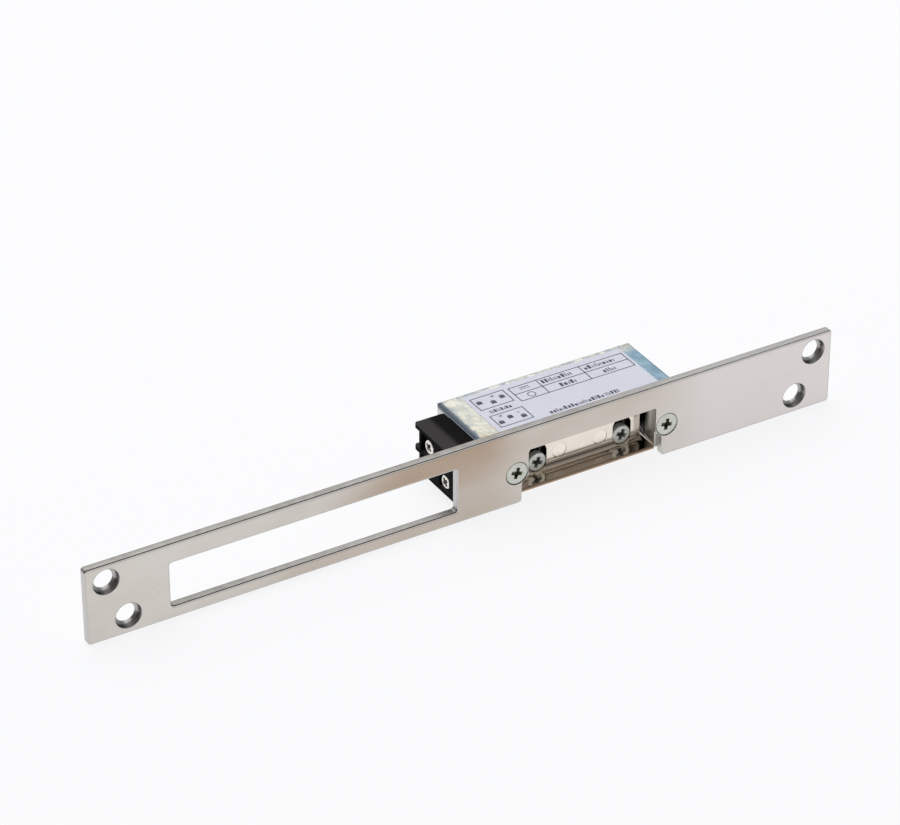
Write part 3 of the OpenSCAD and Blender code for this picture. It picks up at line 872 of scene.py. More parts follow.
def eased_copy(node: str, name: str, width: float, least: float = 2.5) -> bpy.types.Object:
    """Copy a solid and ease its straight arrises.

    Args:
        node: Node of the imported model.
        name: Name of the copy.
        width: Width of the eased edge.
        least: Length from which an arris is eased, or 0 to ease all as far as the shortest allows.

    Returns:
        The copy, with a plain mesh.
    """
    bm = bmesh.new()
    bm.from_mesh(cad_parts[node].data)
    bmesh.ops.remove_doubles(bm, verts=bm.verts, dist=WELD)
    bmesh.ops.dissolve_limit(bm, angle_limit=FLAT_ANGLE, verts=bm.verts, edges=bm.edges)
    weight = bm.edges.layers.float.new("bevel_weight_edge")
    for edge in bm.edges:
        long_enough = not least or (edge.is_convex and edge.calc_length() >= least * MM)
        if long_enough and edge.calc_face_angle(0.0) > ARRIS_ANGLE:
            edge[weight] = 1.0
    if least:
        # A face with recesses is split here, because an eased many-sided face may close over them.
        bmesh.ops.triangulate(bm, faces=[face for face in bm.faces if len(face.verts) > 4])
    mesh = bpy.data.meshes.new(name)
    bm.to_mesh(mesh)
    bm.free()
    obj = add_object(name, mesh)
    bevel = obj.modifiers.new("ease", "BEVEL")
    bevel.width = width * MM
    bevel.segments = EASE_STEPS
    bevel.limit_method = "WEIGHT"
    bevel.miter_outer = "MITER_ARC"
    bevel.use_clamp_overlap = not least
    smooth(settle(obj))
    obj.data.attributes.remove(obj.data.attributes["bevel_weight_edge"])
    obj.modifiers.new("even", "WEIGHTED_NORMAL").keep_sharp = True
    return settle(obj)


def lathe(name: str, profile: Sequence[Point2], steps: int = 40) -> bpy.types.Mesh:
    """Turn a profile of radius and depth about the Y axis.

    Args:
        name: Name of the mesh.
        profile: Radius and depth pairs, from the front middle to the rear middle.
        steps: Faces round the axis.

    Returns:
        A closed mesh.
    """
    bm = bmesh.new()
    rings: list[list[bmesh.types.BMVert]] = []
    for radius, depth in profile:
        count = 1 if radius < 1e-9 else steps
        rings.append([
            bm.verts.new((radius * MM * math.cos(2 * math.pi * k / steps), depth * MM,
                          radius * MM * math.sin(2 * math.pi * k / steps)))
            for k in range(count)
        ])
    for first, second in zip(rings, rings[1:]):
        for k in range(steps):
            corners = [first[k % len(first)], first[(k + 1) % len(first)],
                       second[(k + 1) % len(second)], second[k % len(second)]]
            bm.faces.new(list(dict.fromkeys(corners)))
    return mesh_from(bm, name)


def boxes(name: str, spans: Iterable[tuple[Point3, Point3]]) -> bpy.types.Mesh:
    """Boxes given by their corners, in millimetres.

    Args:
        name: Name of the mesh.
        spans: Lowest and highest corner of each box.

    Returns:
        The mesh.
    """
    bm = bmesh.new()
    for low, high in spans:
        size = Vector(high) - Vector(low)
        middle = (Vector(high) + Vector(low)) / 2
        place = Matrix.Translation(middle * MM) @ Matrix.Diagonal((*(size * MM), 1.0))
        bmesh.ops.create_cube(bm, size=1.0, matrix=place)
    return mesh_from(bm, name)


def arc(middle: Point2, radius: float, start: float, end: float, steps: int = 6) -> list[Point2]:
    """Points along an arc.

    Args:
        middle: Centre.
        radius: Radius.
        start: First angle in degrees.
        end: Last angle in degrees.
        steps: Straight pieces.

    Returns:
        The points.
    """
    angles = [math.radians(start + (end - start) * k / steps) for k in range(steps + 1)]
    return [(middle[0] + radius * math.cos(a), middle[1] + radius * math.sin(a)) for a in angles]


def offset(points: Sequence[Point2], inset: float) -> list[Point2]:
    """Move a closed outline's sides to their left by an inset.

    Args:
        points: Corners in order.
        inset: Distance; positive moves a counter-clockwise outline inwards.

    Returns:
        The moved corners.
    """
    moved: list[Point2] = []
    count = len(points)
    for i, here in enumerate(points):
        before, after = Vector(points[i - 1]), Vector(points[(i + 1) % count])
        a, b = (Vector(here) - before).normalized(), (after - Vector(here)).normalized()
        left_a, left_b = Vector((-a.y, a.x)), Vector((-b.y, b.x))
        mitre = left_a + left_b
        mitre *= inset / max(0.2, mitre.dot(left_a))
        moved.append((here[0] + mitre.x, here[1] + mitre.y))
    return moved


@dataclass
class Contour:
    """A closed outline of a plate and the profile of its edge.

    The profile runs from the front face to the rear face as pairs of inset
    and depth. The first and last pairs lie on the faces.
    """

    points: list[Point2]
    profile: list[Point2]
    material: PlateSlot = PlateSlot.FACE
    share: list[float] | None = None

    def ring(self, inset: float) -> list[Point2]:
        """The outline moved towards the plate's material.

        Args:
            inset: How far it moves.

        Returns:
            The moved points.
        """
        moved = offset(self.points, inset)
        if self.share is None:
            return moved
        return [(p[0] + (q[0] - p[0]) * k, p[1] + (q[1] - p[1]) * k)
                for p, q, k in zip(self.points, moved, self.share)]


def eased_profile(thickness: float, front: float, rear: float, steps: int = 5,
                  margin: float = 0.15) -> list[Point2]:
    """Edge profile of a plate with both arrises eased.

    Args:
        thickness: Thickness of the plate.
        front: Radius of the front arris.
        rear: Radius of the rear arris.
        steps: Faces across each arris.
        margin: Width of the flat strip that ends each face.

    Returns:
        Inset and depth pairs.
    """
    def side(r: float) -> list[Point2]:
        """Pairs from a face to the edge."""
        turns = (math.pi / 2 * k / steps for k in range(steps + 1))
        return [(r + margin, 0.0)] + [(r * (1 - math.sin(t)), r * (1 - math.cos(t))) for t in turns]

    return side(front) + [(i, thickness - d) for i, d in reversed(side(rear))]


def plate_mesh(name: str, contours: Sequence[Contour],
               to_part: Callable[[Point2, float], Point3]) -> bpy.types.Mesh:
    """Loft a plate's edges and fill its two faces.

    Args:
        name: Name of the mesh.
        contours: The outer outline, counter-clockwise, then the holes, clockwise.
        to_part: Gives the place of an outline point at a depth, in millimetres.

    Returns:
        A closed mesh.
    """
    bm = bmesh.new()
    faces: list[list[list[bmesh.types.BMVert]]] = [[], []]
    for contour in contours:
        rings = [[bm.verts.new(Vector(to_part(p, depth)) * MM) for p in contour.ring(inset)]
                 for inset, depth in contour.profile]
        count = len(contour.points)
        for first, second in zip(rings, rings[1:]):
            for k in range(count):
                n = (k + 1) % count
                bm.faces.new((first[k], first[n], second[n], second[k])).material_index = contour.material
        faces[0].append(rings[0])
        faces[1].append(rings[-1])
    for loops in faces:
        flat = [v for loop in loops for v in loop]
        for tri in tessellate_polygon([[v.co for v in loop] for loop in loops]):
            if len(set(tri)) == 3:
                bm.faces.new([flat[i] for i in tri])
    return mesh_from(bm, name)


def circle(middle: Point2, radius: float, steps: int = 48) -> list[Point2]:
    """Points of a hole, clockwise.

    Args:
        middle: Centre.
        radius: Radius.
        steps: Number of points.

    Returns:
        The points.
    """
    return arc(middle, radius, 360.0, 360.0 / steps, steps - 1)


def rounded(low: Point2, high: Point2, radius: float) -> list[Point2]:
    """Corners of a rounded rectangle, counter-clockwise.

    Args:
        low: Lowest corner.
        high: Highest corner.
        radius: Corner radius.

    Returns:
        The points.
    """
    (x0, y0), (x1, y1), r = low, high, radius
    return (arc((x1 - r, y0 + r), r, -90, 0) + arc((x1 - r, y1 - r), r, 0, 90)
            + arc((x0 + r, y1 - r), r, 90, 180) + arc((x0 + r, y0 + r), r, 180, 270))


# ---- geometry node trees ----


class NodeGroup(NodeTree):
    """A geometry node tree with named inputs."""

    def __init__(self, name: str) -> None:
        """Start a tree with a geometry input and output.

        Args:
            name: Name of the tree.
        """
        super().__init__(bpy.data.node_groups.new(name, "GeometryNodeTree"))
        for way in ("INPUT", "OUTPUT"):
            self.tree.interface.new_socket("Geometry", in_out=way, socket_type="NodeSocketGeometry")
        self.start = self.node("NodeGroupInput")
        self.end = self.node("NodeGroupOutput")
        self.keys: dict[str, str] = {}

    def value(self, name: str, kind: str) -> Socket:
        """Add a named input.

        Args:
            name: Name of the input.
            kind: Socket type.

        Returns:
            The input's socket inside the tree.
        """
        socket = self.tree.interface.new_socket(name, in_out="INPUT", socket_type=kind)
        self.keys[name] = socket.identifier
        return next(o for o in self.start.outputs if o.identifier == socket.identifier)

    def close(self, shape: Socket, finish: Socket) -> None:
        """End the tree in a painted mesh.

        Args:
            shape: Geometry to turn into a mesh.
            finish: Its material.
        """
        real = self.node("GeometryNodeRealizeInstances")
        self.link(shape, real.inputs[0])
        painted = self.node("GeometryNodeSetMaterial")
        self.link(real.outputs[0], painted.inputs["Geometry"])
        self.link(finish, painted.inputs["Material"])
        self.link(painted.outputs[0], self.end.inputs[0])

    def run(self, obj: bpy.types.Object, **values: object) -> bpy.types.Object:
        """Run the tree on an object and keep the result as a plain mesh.

        Args:
            obj: Object whose mesh is the tree's input.
            values: Inputs by name.

        Returns:
            The same object.
        """
        modifier = obj.modifiers.new(self.tree.name, "NODES")
        modifier.node_group = self.tree
        for key, setting in values.items():
            modifier[self.keys[key]] = setting
        return settle(obj)


def scatter_tree() -> NodeGroup:
    """Tree that sets one shape on each point, turned and sized by the point.

    Returns:
        The tree, with inputs Shape and Finish.
    """
    g = NodeGroup("set_on_points")
    shape = g.value("Shape", "NodeSocketObject")
    finish = g.value("Finish", "NodeSocketMaterial")
    info = g.node("GeometryNodeObjectInfo", transform_space="ORIGINAL")
    g.link(shape, info.inputs["Object"])
    points = g.node("GeometryNodeMeshToPoints")
    g.link(g.start.outputs[0], points.inputs["Mesh"])
    spread = g.node("GeometryNodeInstanceOnPoints")
    g.link(points.outputs[0], spread.inputs["Points"])
    g.link(info.outputs["Geometry"], spread.inputs["Instance"])
    for key, target in (("turn", "Rotation"), ("size", "Scale")):
        stored = g.node("GeometryNodeInputNamedAttribute", data_type="FLOAT_VECTOR")
        stored.inputs["Name"].default_value = key
        g.link(stored.outputs["Attribute"], spread.inputs[target])
    g.close(spread.outputs[0], finish)
    return g


def wire_tree() -> NodeGroup:
    """Tree that draws a round wire along a path of edges.

    Returns:
        The tree, with inputs Radius, Sides and Finish.
    """
    g = NodeGroup("wire_along_path")
    radius = g.value("Radius", "NodeSocketFloat")
    sides = g.value("Sides", "NodeSocketInt")
    finish = g.value("Finish", "NodeSocketMaterial")
    path = g.node("GeometryNodeMeshToCurve")
    g.link(g.start.outputs[0], path.inputs["Mesh"])
    ring = g.node("GeometryNodeCurvePrimitiveCircle", mode="RADIUS")
    g.link(sides, ring.inputs["Resolution"])
    g.link(radius, ring.inputs["Radius"])
    tube = g.node("GeometryNodeCurveToMesh")
    g.link(path.outputs[0], tube.inputs["Curve"])
    g.link(ring.outputs[0], tube.inputs["Profile Curve"])
    tube.inputs["Fill Caps"].default_value = True
    g.close(tube.outputs[0], finish)
    return g


@dataclass
class Spot:
    """A place for a repeated shape."""

    at: Point3
    turn: Point3 = (0.0, 0.0, 0.0)
    size: Point3 = (1.0, 1.0, 1.0)


class Workshop:
    """Tools that the sub-assemblies share."""

    def __init__(self) -> None:
        """Build the shared node trees."""
        self.scatter = scatter_tree()
        self.wire = wire_tree()

    def spread(self, name: str, shape: bpy.types.Object, spots: Sequence[Spot],
               finish: Finish) -> bpy.types.Object:
        """Set a shape on each spot and delete the shape.

        Args:
            name: Name of the piece.
            shape: Shape to repeat.
            spots: Where it goes, in millimetres.
            finish: Finish of the piece.

        Returns:
            The piece.
        """
        mesh = bpy.data.meshes.new(name)
        mesh.from_pydata([[c * MM for c in spot.at] for spot in spots], [], [])
        for key in ("turn", "size"):
            layer = mesh.attributes.new(key, "FLOAT_VECTOR", "POINT")
            for item, spot in zip(layer.data, spots):
                item.vector = getattr(spot, key)
        obj = self.scatter.run(add_object(name, mesh), Shape=shape, Finish=Finishes.get(finish))
        drop([shape])
        return obj

    def wires(self, name: str, paths: Sequence[Sequence[Point3]], radius: float, sides: int,
              finish: Finish) -> bpy.types.Object:
        """Draw round wires along paths.

        Args:
            name: Name of the piece.
            paths: Points of each wire, in millimetres.
            radius: Wire radius.
            sides: Faces round the wire.
            finish: Finish of the piece.

        Returns:
            The piece.
        """
        points: list[Vector] = []
        edges: list[tuple[int, int]] = []
        for path in paths:
            first = len(points)
            points.extend(Vector(p) * MM for p in path)
            edges.extend((i, i + 1) for i in range(first, len(points) - 1))
        mesh = bpy.data.meshes.new(name)
        mesh.from_pydata(points, edges, [])
        obj = add_object(name, mesh)
        self.wire.run(obj, Radius=radius * MM, Sides=sides, Finish=Finishes.get(finish))
        bm = bmesh.new()
        bm.from_mesh(obj.data)
        bmesh.ops.recalc_face_normals(bm, faces=bm.faces)
        bm.to_mesh(obj.data)
        bm.free()
        return smooth(obj, 50.0)


def fit(obj: bpy.types.Object, body: Body, finish: Finish, *nodes: str) -> bpy.types.Object:
    """Paint a piece, set it on its body and let it stand for its solids.

    Args:
        obj: The piece.
        body: Body that it moves with.
        finish: Its finish.
        nodes: Solids that it stands for.

    Returns:
        The piece.
    """
    if not obj.data.materials:
        obj.data.materials.append(Finishes.get(finish))
    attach(obj, body.value)
    if nodes:
        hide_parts(*nodes)
    LOG.info("%s rides on %s: %d faces", obj.name, body.value, len(obj.data.polygons))
    return obj


def paint(node: str, finish: Finish) -> None:
    """Give a solid that stays in view its finish.

    Args:
        node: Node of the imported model.
        finish: Its finish.
    """
    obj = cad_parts[node]
    obj.data.materials.clear()
    obj.data.materials.append(Finishes.get(finish))
    LOG.info("%s keeps its solid", node)


# ---- screws ----


@dataclass
class Screw:
    """A cross-head screw along Y, with its head's face at y = 0."""

    name: str
    drive: Drive
    head_r: float
    shank_r: float
    head_h: float
    length: float
    cross: float
    cross_depth: float
    arm: float = 0.56

    def profile(self) -> list[Point2]:
        """Profile of the screw without its recess.

        Returns:
            Radius and depth pairs.
        """
        r, h = self.head_r, self.head_h
        tip = [(self.shank_r, self.length - 0.5), (self.shank_r - 0.4, self.length), (0.0, self.length)]
        if self.drive is Drive.COUNTERSUNK:
            return [(0.0, 0.0), (r - 0.34, 0.0), (r - 0.22, 0.0), (r - 0.09, 0.04), (r - 0.02, 0.13),
                    (r, 0.24), (r - 0.10, 0.40), (self.shank_r, h), *tip]
        return [(0.0, 0.0), (r - 0.55, 0.0), (r - 0.40, 0.0), (r - 0.20, 0.06), (r - 0.06, 0.20),
                (r, 0.42), (r, h - 0.05), (r - 0.05, h), (self.shank_r, h), *tip]

    def recess(self) -> list[bpy.types.Object]:
        """Shapes that cut the cross recess.

        Returns:
            Helper objects.
        """
        w, d, a = self.cross / 2, self.cross_depth, self.arm
        over, short, thin = -0.2, 0.6, 0.7
        sides = ((0, 1, 2, 3), (7, 6, 5, 4), (0, 4, 5, 1), (1, 5, 6, 2), (2, 6, 7, 3), (3, 7, 4, 0))
        made = []
        for turn in (0.0, 90.0):
            bm = bmesh.new()
            top = [(-w, over, -a), (w, over, -a), (w, over, a), (-w, over, a)]
            low = [(x * short, d, z * thin) for x, _, z in top]
            verts = [bm.verts.new(Vector(p) * MM) for p in top + low]
            for side in sides:
                bm.faces.new([verts[i] for i in side])
            bmesh.ops.rotate(bm, verts=bm.verts, matrix=Matrix.Rotation(math.radians(turn), 3, "Y"))
            made.append(add_object("recess", mesh_from(bm, "recess")))
        core = lathe("recess", [(0.0, over), (w * 0.55, over), (w * 0.40, d), (0.0, d + 0.35)], steps=24)
        # A small turn keeps the core's faces off those of the arms.
        core.transform(Matrix.Rotation(math.radians(4.0), 4, "Y"))
        made.append(add_object("recess", core))
        return made

    def mark_hollow(self, mesh: bpy.types.Mesh) -> None:
        """Store how deep each point lies in the recess.

        Args:
            mesh: The cut screw.
        """
        layer = mesh.attributes.new(HOLLOW, "FLOAT", "POINT")
        reach, mouth, bottom = 0.485 * self.cross, 0.005, self.cross_depth + 0.4
        for item, vert in zip(layer.data, mesh.vertices):
            out, deep = math.hypot(vert.co.x, vert.co.z) / MM, vert.co.y / MM
            inside = out < reach and mouth < deep < bottom
            item.value = min(1.0, deep / self.cross_depth) if inside else 0.0

    def build(self) -> bpy.types.Object:
        """Make the screw.

        Returns:
            A helper object to repeat.
        """
        obj = add_object(self.name, lathe(self.name, self.profile(), steps=48))
        tools = self.recess()
        for tool in tools:
            cut = obj.modifiers.new("cut", "BOOLEAN")
            cut.operation = "DIFFERENCE"
            cut.solver = "EXACT"
            cut.object = tool
        settle(obj)
        drop(tools)
        self.mark_hollow(obj.data)
        return smooth(obj, 35.0)


# ---- sub-assemblies ----

# Middle of the strike along the plate, the plate's ends and the height of the magnet's axis.
STRIKE_X = 40.2
PLATE_END = 125.0
AXIS_Z = -1.8
# Points in a turn of wire.
TURN_STEPS = 28


@dataclass
class Faceplate:
    """The long plate and the screws that hold the body to it."""

    shop: Workshop
    length: float = 250.0
    height: float = 25.0
    thick: float = 2.5
    corner: float = 1.0
    front_ease: float = 0.3
    rear_ease: float = 0.3
    notch_share: float = 0.2
    notch_corner: float = 1.0
    notch_fillet: float = 0.4
    rim: float = 0.1
    hole_r: float = 3.0
    sink_r: float = 4.1
    sink_depth: float = 1.9
    holes: tuple[Point2, ...] = ((118.5, 6.75), (-118.5, 6.75), (112.25, -6.75), (-112.25, -6.75))
    slot_low: Point2 = (-99.0, -8.5)
    slot_high: Point2 = (-6.1, 6.0)
    notch_half: float = 22.05
    notch_low_half: float = 24.3
    notch_top: float = 4.7
    notch_step: float = -6.0
    screw_dx: float = 26.0
    screw_z: float = -2.1
    screw_sink: float = 0.1
    seat_r: float = 3.83
    seat_bore: float = 2.01
    seat_depth: float = 1.83

    def outline(self) -> list[Point2]:
        """Outer outline with the latch notch, counter-clockwise.

        Returns:
            The points.
        """
        x1, z1, r = self.length / 2, self.height / 2, self.corner
        w, low, c, f = self.notch_half, self.notch_low_half, self.notch_corner, self.notch_fillet
        slant = self.notch_step + low - w
        notch = arc((-low - c, -z1 + c), c, 270, 360)
        notch += [(-low, self.notch_step), (-w, slant), (-w, self.notch_top - f)]
        notch += arc((-w + f, self.notch_top - f), f, 180, 90, 4)[1:]
        other = [(-x, z) for x, z in reversed(notch)]
        notch = [(x + STRIKE_X, z) for x, z in notch + other]
        return (arc((-x1 + r, -z1 + r), r, 180, 270) + notch + arc((x1 - r, -z1 + r), r, 270, 360)
                + arc((x1 - r, z1 - r), r, 0, 90) + arc((-x1 + r, z1 - r), r, 90, 180))

    def contours(self) -> list[Contour]:
        """The plate's outline, slot and holes.

        Returns:
            The contours.
        """
        t = self.thick
        edge = eased_profile(t, self.front_ease, self.rear_ease)
        slot = list(reversed(rounded(self.slot_low, self.slot_high, self.corner)))
        outer = self.outline()
        # The notch's own edges are eased less than the plate's.
        reach, low, high = self.notch_low_half + 0.7, -self.height / 2 + 1.5, self.notch_top + 1.3
        share = [self.notch_share if abs(x - STRIKE_X) < reach and low < z < high else 1.0 for x, z in outer]
        made = [Contour(outer, edge, PlateSlot.EDGE, share), Contour(slot, edge, PlateSlot.EDGE)]
        rear = [(0.0, t - self.rim), (self.rim, t)]
        sink = self.sink_r - self.hole_r
        sunk = [(sink + 0.16, 0.0), (sink + 0.03, 0.0), (sink - 0.03, 0.03), (sink - 0.1, 0.14),
                (0.0, self.sink_depth), *rear, (0.25, t)]
        for hole in self.holes:
            made.append(Contour(circle(hole, self.hole_r), sunk, PlateSlot.SEAT))
        seat = self.seat_r - self.seat_bore
        cone = [(seat, 0.0), (seat, 0.12), (0.0, self.seat_depth), *rear]
        for side in (-1.0, 1.0):
            middle = (STRIKE_X + side * self.screw_dx, self.screw_z)
            made.append(Contour(circle(middle, self.seat_bore), cone, PlateSlot.SEAT))
        return made

    def build(self) -> None:
        """Make the plate and its two screws."""
        mesh = plate_mesh("plate", self.contours(), lambda p, depth: (p[0], depth, p[1]))
        for finish in (Finishes.PLATE, Finishes.EDGE, Finishes.SEAT):
            mesh.materials.append(Finishes.get(finish))
        fit(smooth(add_object("plate", mesh), 30.0), Body.FRAME, Finishes.PLATE, "faceplate")
        screw = Screw("plate_screw_shape", Drive.COUNTERSUNK, head_r=3.56, shank_r=2.0, head_h=1.7,
                      length=7.9, cross=3.9, cross_depth=1.6, arm=0.64)
        spots = [Spot((STRIKE_X + side * self.screw_dx, self.screw_sink, self.screw_z), (0.0, turn, 0.0))
                 for side, turn in ((-1.0, 0.30), (1.0, 0.22))]
        piece = self.shop.spread("plate_screw_pair", screw.build(), spots, Finishes.SCREW)
        fit(piece, Body.FRAME, Finishes.SCREW, "plate_screws")


@dataclass
class Casing:
    """The cast box, its sheet cover and the printed label."""

    shop: Workshop
    top: float = 7.0
    label_low: Point2 = (-26.35, 3.8)
    label_high: Point2 = (28.85, 31.0)
    label_t: float = 0.1
    ink_t: float = 0.012
    rule: float = 0.34
    marks: list[Spot] = field(default_factory=list)

    def ink_z(self) -> float:
        """Height of the print's middle."""
        return self.top + self.label_t + self.ink_t / 2

    def mark(self, x0: float, y0: float, x1: float, y1: float) -> None:
        """Add a printed bar, by its corners from the plate's left end.

        Args:
            x0: Left end.
            y0: Front end.
            x1: Right end.
            y1: Rear end.
        """
        middle = ((x0 + x1) / 2 - PLATE_END, (y0 + y1) / 2, self.ink_z())
        self.marks.append(Spot(middle, size=(x1 - x0, y1 - y0, self.ink_t)))

    def frame_marks(self, x0: float, y0: float, x1: float, y1: float) -> None:
        """Add a printed frame.

        Args:
            x0: Left end.
            y0: Front end.
            x1: Right end.
            y1: Rear end.
        """
        r = self.rule
        self.mark(x0, y0, x1, y0 + r)
        self.mark(x0, y1 - r, x1, y1)
        self.mark(x0, y0 + r, x0 + r, y1 - r)
        self.mark(x1 - r, y0 + r, x1, y1 - r)

    def word(self, x: float, y: float, height: float, count: int, seed: int) -> None:
        """Add a row of plain bars that stands for small print.

        Args:
            x: Left end.
            y: Front end.
            height: Height of the tallest bar.
            count: Number of bars.
            seed: Seed of the bars' sizes.
        """
        rng = random.Random(seed)
        for _ in range(count):
            width = height * rng.choice((0.16, 0.22, 0.42, 0.5))
            tall = height * rng.choice((0.62, 0.75, 1.0))
            self.mark(x, y, x + width, y + tall)
            x += width + height * 0.2

    def artwork(self) -> None:
        """Lay out the label's frames, squares and rows."""
        self.frame_marks(140.2, 22.0, 151.8, 29.0)
        self.frame_marks(140.6, 11.2, 152.0, 18.2)
        squares = ((142.0, 25.9), (146.0, 24.4), (149.7, 25.8), (142.3, 13.6), (146.0, 15.0), (149.8, 13.5))
        for x, y in squares:
            self.mark(x - 0.85, y - 0.8, x + 0.85, y + 0.8)
            self.mark(x - 0.35, y + 0.8, x - 0.1, y + 1.25)
            self.mark(x + 0.15, y + 0.8, x + 0.4, y + 1.25)
        self.frame_marks(153.2, 20.4, 193.2, 28.6)
        for x in (162.8, 177.7):
            self.mark(x, 20.4, x + self.rule, 28.6)
        self.mark(153.2, 24.4, 193.2, 24.4 + self.rule)
        dashes, radius = 20, 1.2
        for k in range(dashes):
            a = 2 * math.pi * k / dashes
            middle = (158.0 - PLATE_END + radius * math.cos(a), 22.5 + radius * math.sin(a), self.ink_z())
            self.marks.append(Spot(middle, (0.0, 0.0, a), (0.3, 0.42, self.ink_t)))
        self.mark(156.4, 27.0, 159.6, 27.35)
        for k in range(3):
            self.mark(156.4 + 1.2 * k, 26.1, 157.2 + 1.2 * k, 26.45)
        rows = ((142.2, 19.3, 1.6, 9, 3), (163.9, 25.7, 2.0, 11, 5), (178.9, 25.7, 2.0, 11, 7),
                (167.8, 21.5, 2.0, 5, 11), (183.0, 21.5, 2.0, 5, 13), (157.2, 10.2, 1.8, 19, 17),
                (176.4, 10.2, 1.8, 6, 19), (146.8, 27.0, 1.2, 2, 23), (143.2, 16.4, 1.2, 2, 29),
                (149.0, 15.6, 1.1, 2, 31))
        for row in rows:
            self.word(*row)

    def build(self) -> None:
        """Make the box, the cover, the label film and its print."""
        fit(eased_copy("housing", "cast_box", 0.3, 16.0), Body.FRAME, Finishes.CASTING, "housing")
        fit(eased_copy("cover", "sheet_cover", 0.1), Body.FRAME, Finishes.COVER, "cover")
        (x0, y0), (x1, y1) = self.label_low, self.label_high
        outline = rounded((x0 + STRIKE_X, y0), (x1 + STRIKE_X, y1), 0.7)
        top = self.top + self.label_t
        mesh = plate_mesh("label", [Contour(outline, eased_profile(self.label_t, 0.03, 0.0, 2))],
                          lambda p, depth: (p[0], p[1], top - depth))
        fit(smooth(add_object("label", mesh)), Body.FRAME, Finishes.FILM, "rating_label")
        self.artwork()
        # The tile's side is a metre, so a mark's size in metres is its scale.
        tile = add_object("tile", boxes("tile", [((-500.0,) * 3, (500.0,) * 3)]))
        for spot in self.marks:
            spot.size = tuple(c * MM for c in spot.size)
        fit(self.shop.spread("label_print", tile, self.marks, Finishes.INK), Body.FRAME, Finishes.INK)


@dataclass
class TerminalBlock:
    """The black block with its strips, clamps and screws."""

    shop: Workshop
    head_x: float = -43.75
    columns: tuple[float, float] = (11.1, 20.45)
    rows: tuple[float, float] = (1.45, -5.35)

    def build(self) -> None:
        """Make the block and what is fixed in it."""
        eased = (("terminal_block", "terminal_shell", 0.22, Finishes.PLASTIC),
                 ("terminal_clamps", "clamp_plates", 0.15, Finishes.NICKEL))
        for node, name, width, finish in eased:
            fit(eased_copy(node, name, width), Body.FRAME, finish, node)
        paint("terminal_tags", Finishes.BRASS)
        screw = Screw("terminal_screw_shape", Drive.CHEESE, head_r=2.3, shank_r=1.25, head_h=2.0,
                      length=8.6, cross=3.0, cross_depth=1.1)
        turns = iter((0.35, 0.9, 0.6, 0.15))
        spots = [Spot((STRIKE_X + self.head_x, y, z), (0.0, next(turns), -math.pi / 2))
                 for y in self.columns for z in self.rows]
        piece = self.shop.spread("terminal_screw_set", screw.build(), spots, Finishes.NICKEL)
        fit(piece, Body.FRAME, Finishes.NICKEL, "terminal_screws")


def coil(radius: float, wire: float, length: float, turns: float, dead: float = 1.0) -> list[Point3]:
    """Path of a compression spring along Z, with closed end coils.

    Args:
        radius: Mean radius.
        wire: Wire radius.
        length: Length over the wire's middle.
        turns: Number of turns in all.
        dead: Closed turns at each end.

    Returns:
        The points.
    """
    pitch = 2.15 * wire
    live = (length - 2 * dead * pitch) / (turns - 2 * dead)
    made = []
    for k in range(int(turns * TURN_STEPS) + 1):
        t = k / TURN_STEPS
        low, high = min(t, dead), max(0.0, t - (turns - dead))
        z = pitch * (low + high) + live * (t - low - high)
        made.append((radius * math.cos(2 * math.pi * t), radius * math.sin(2 * math.pi * t), z))
    return made


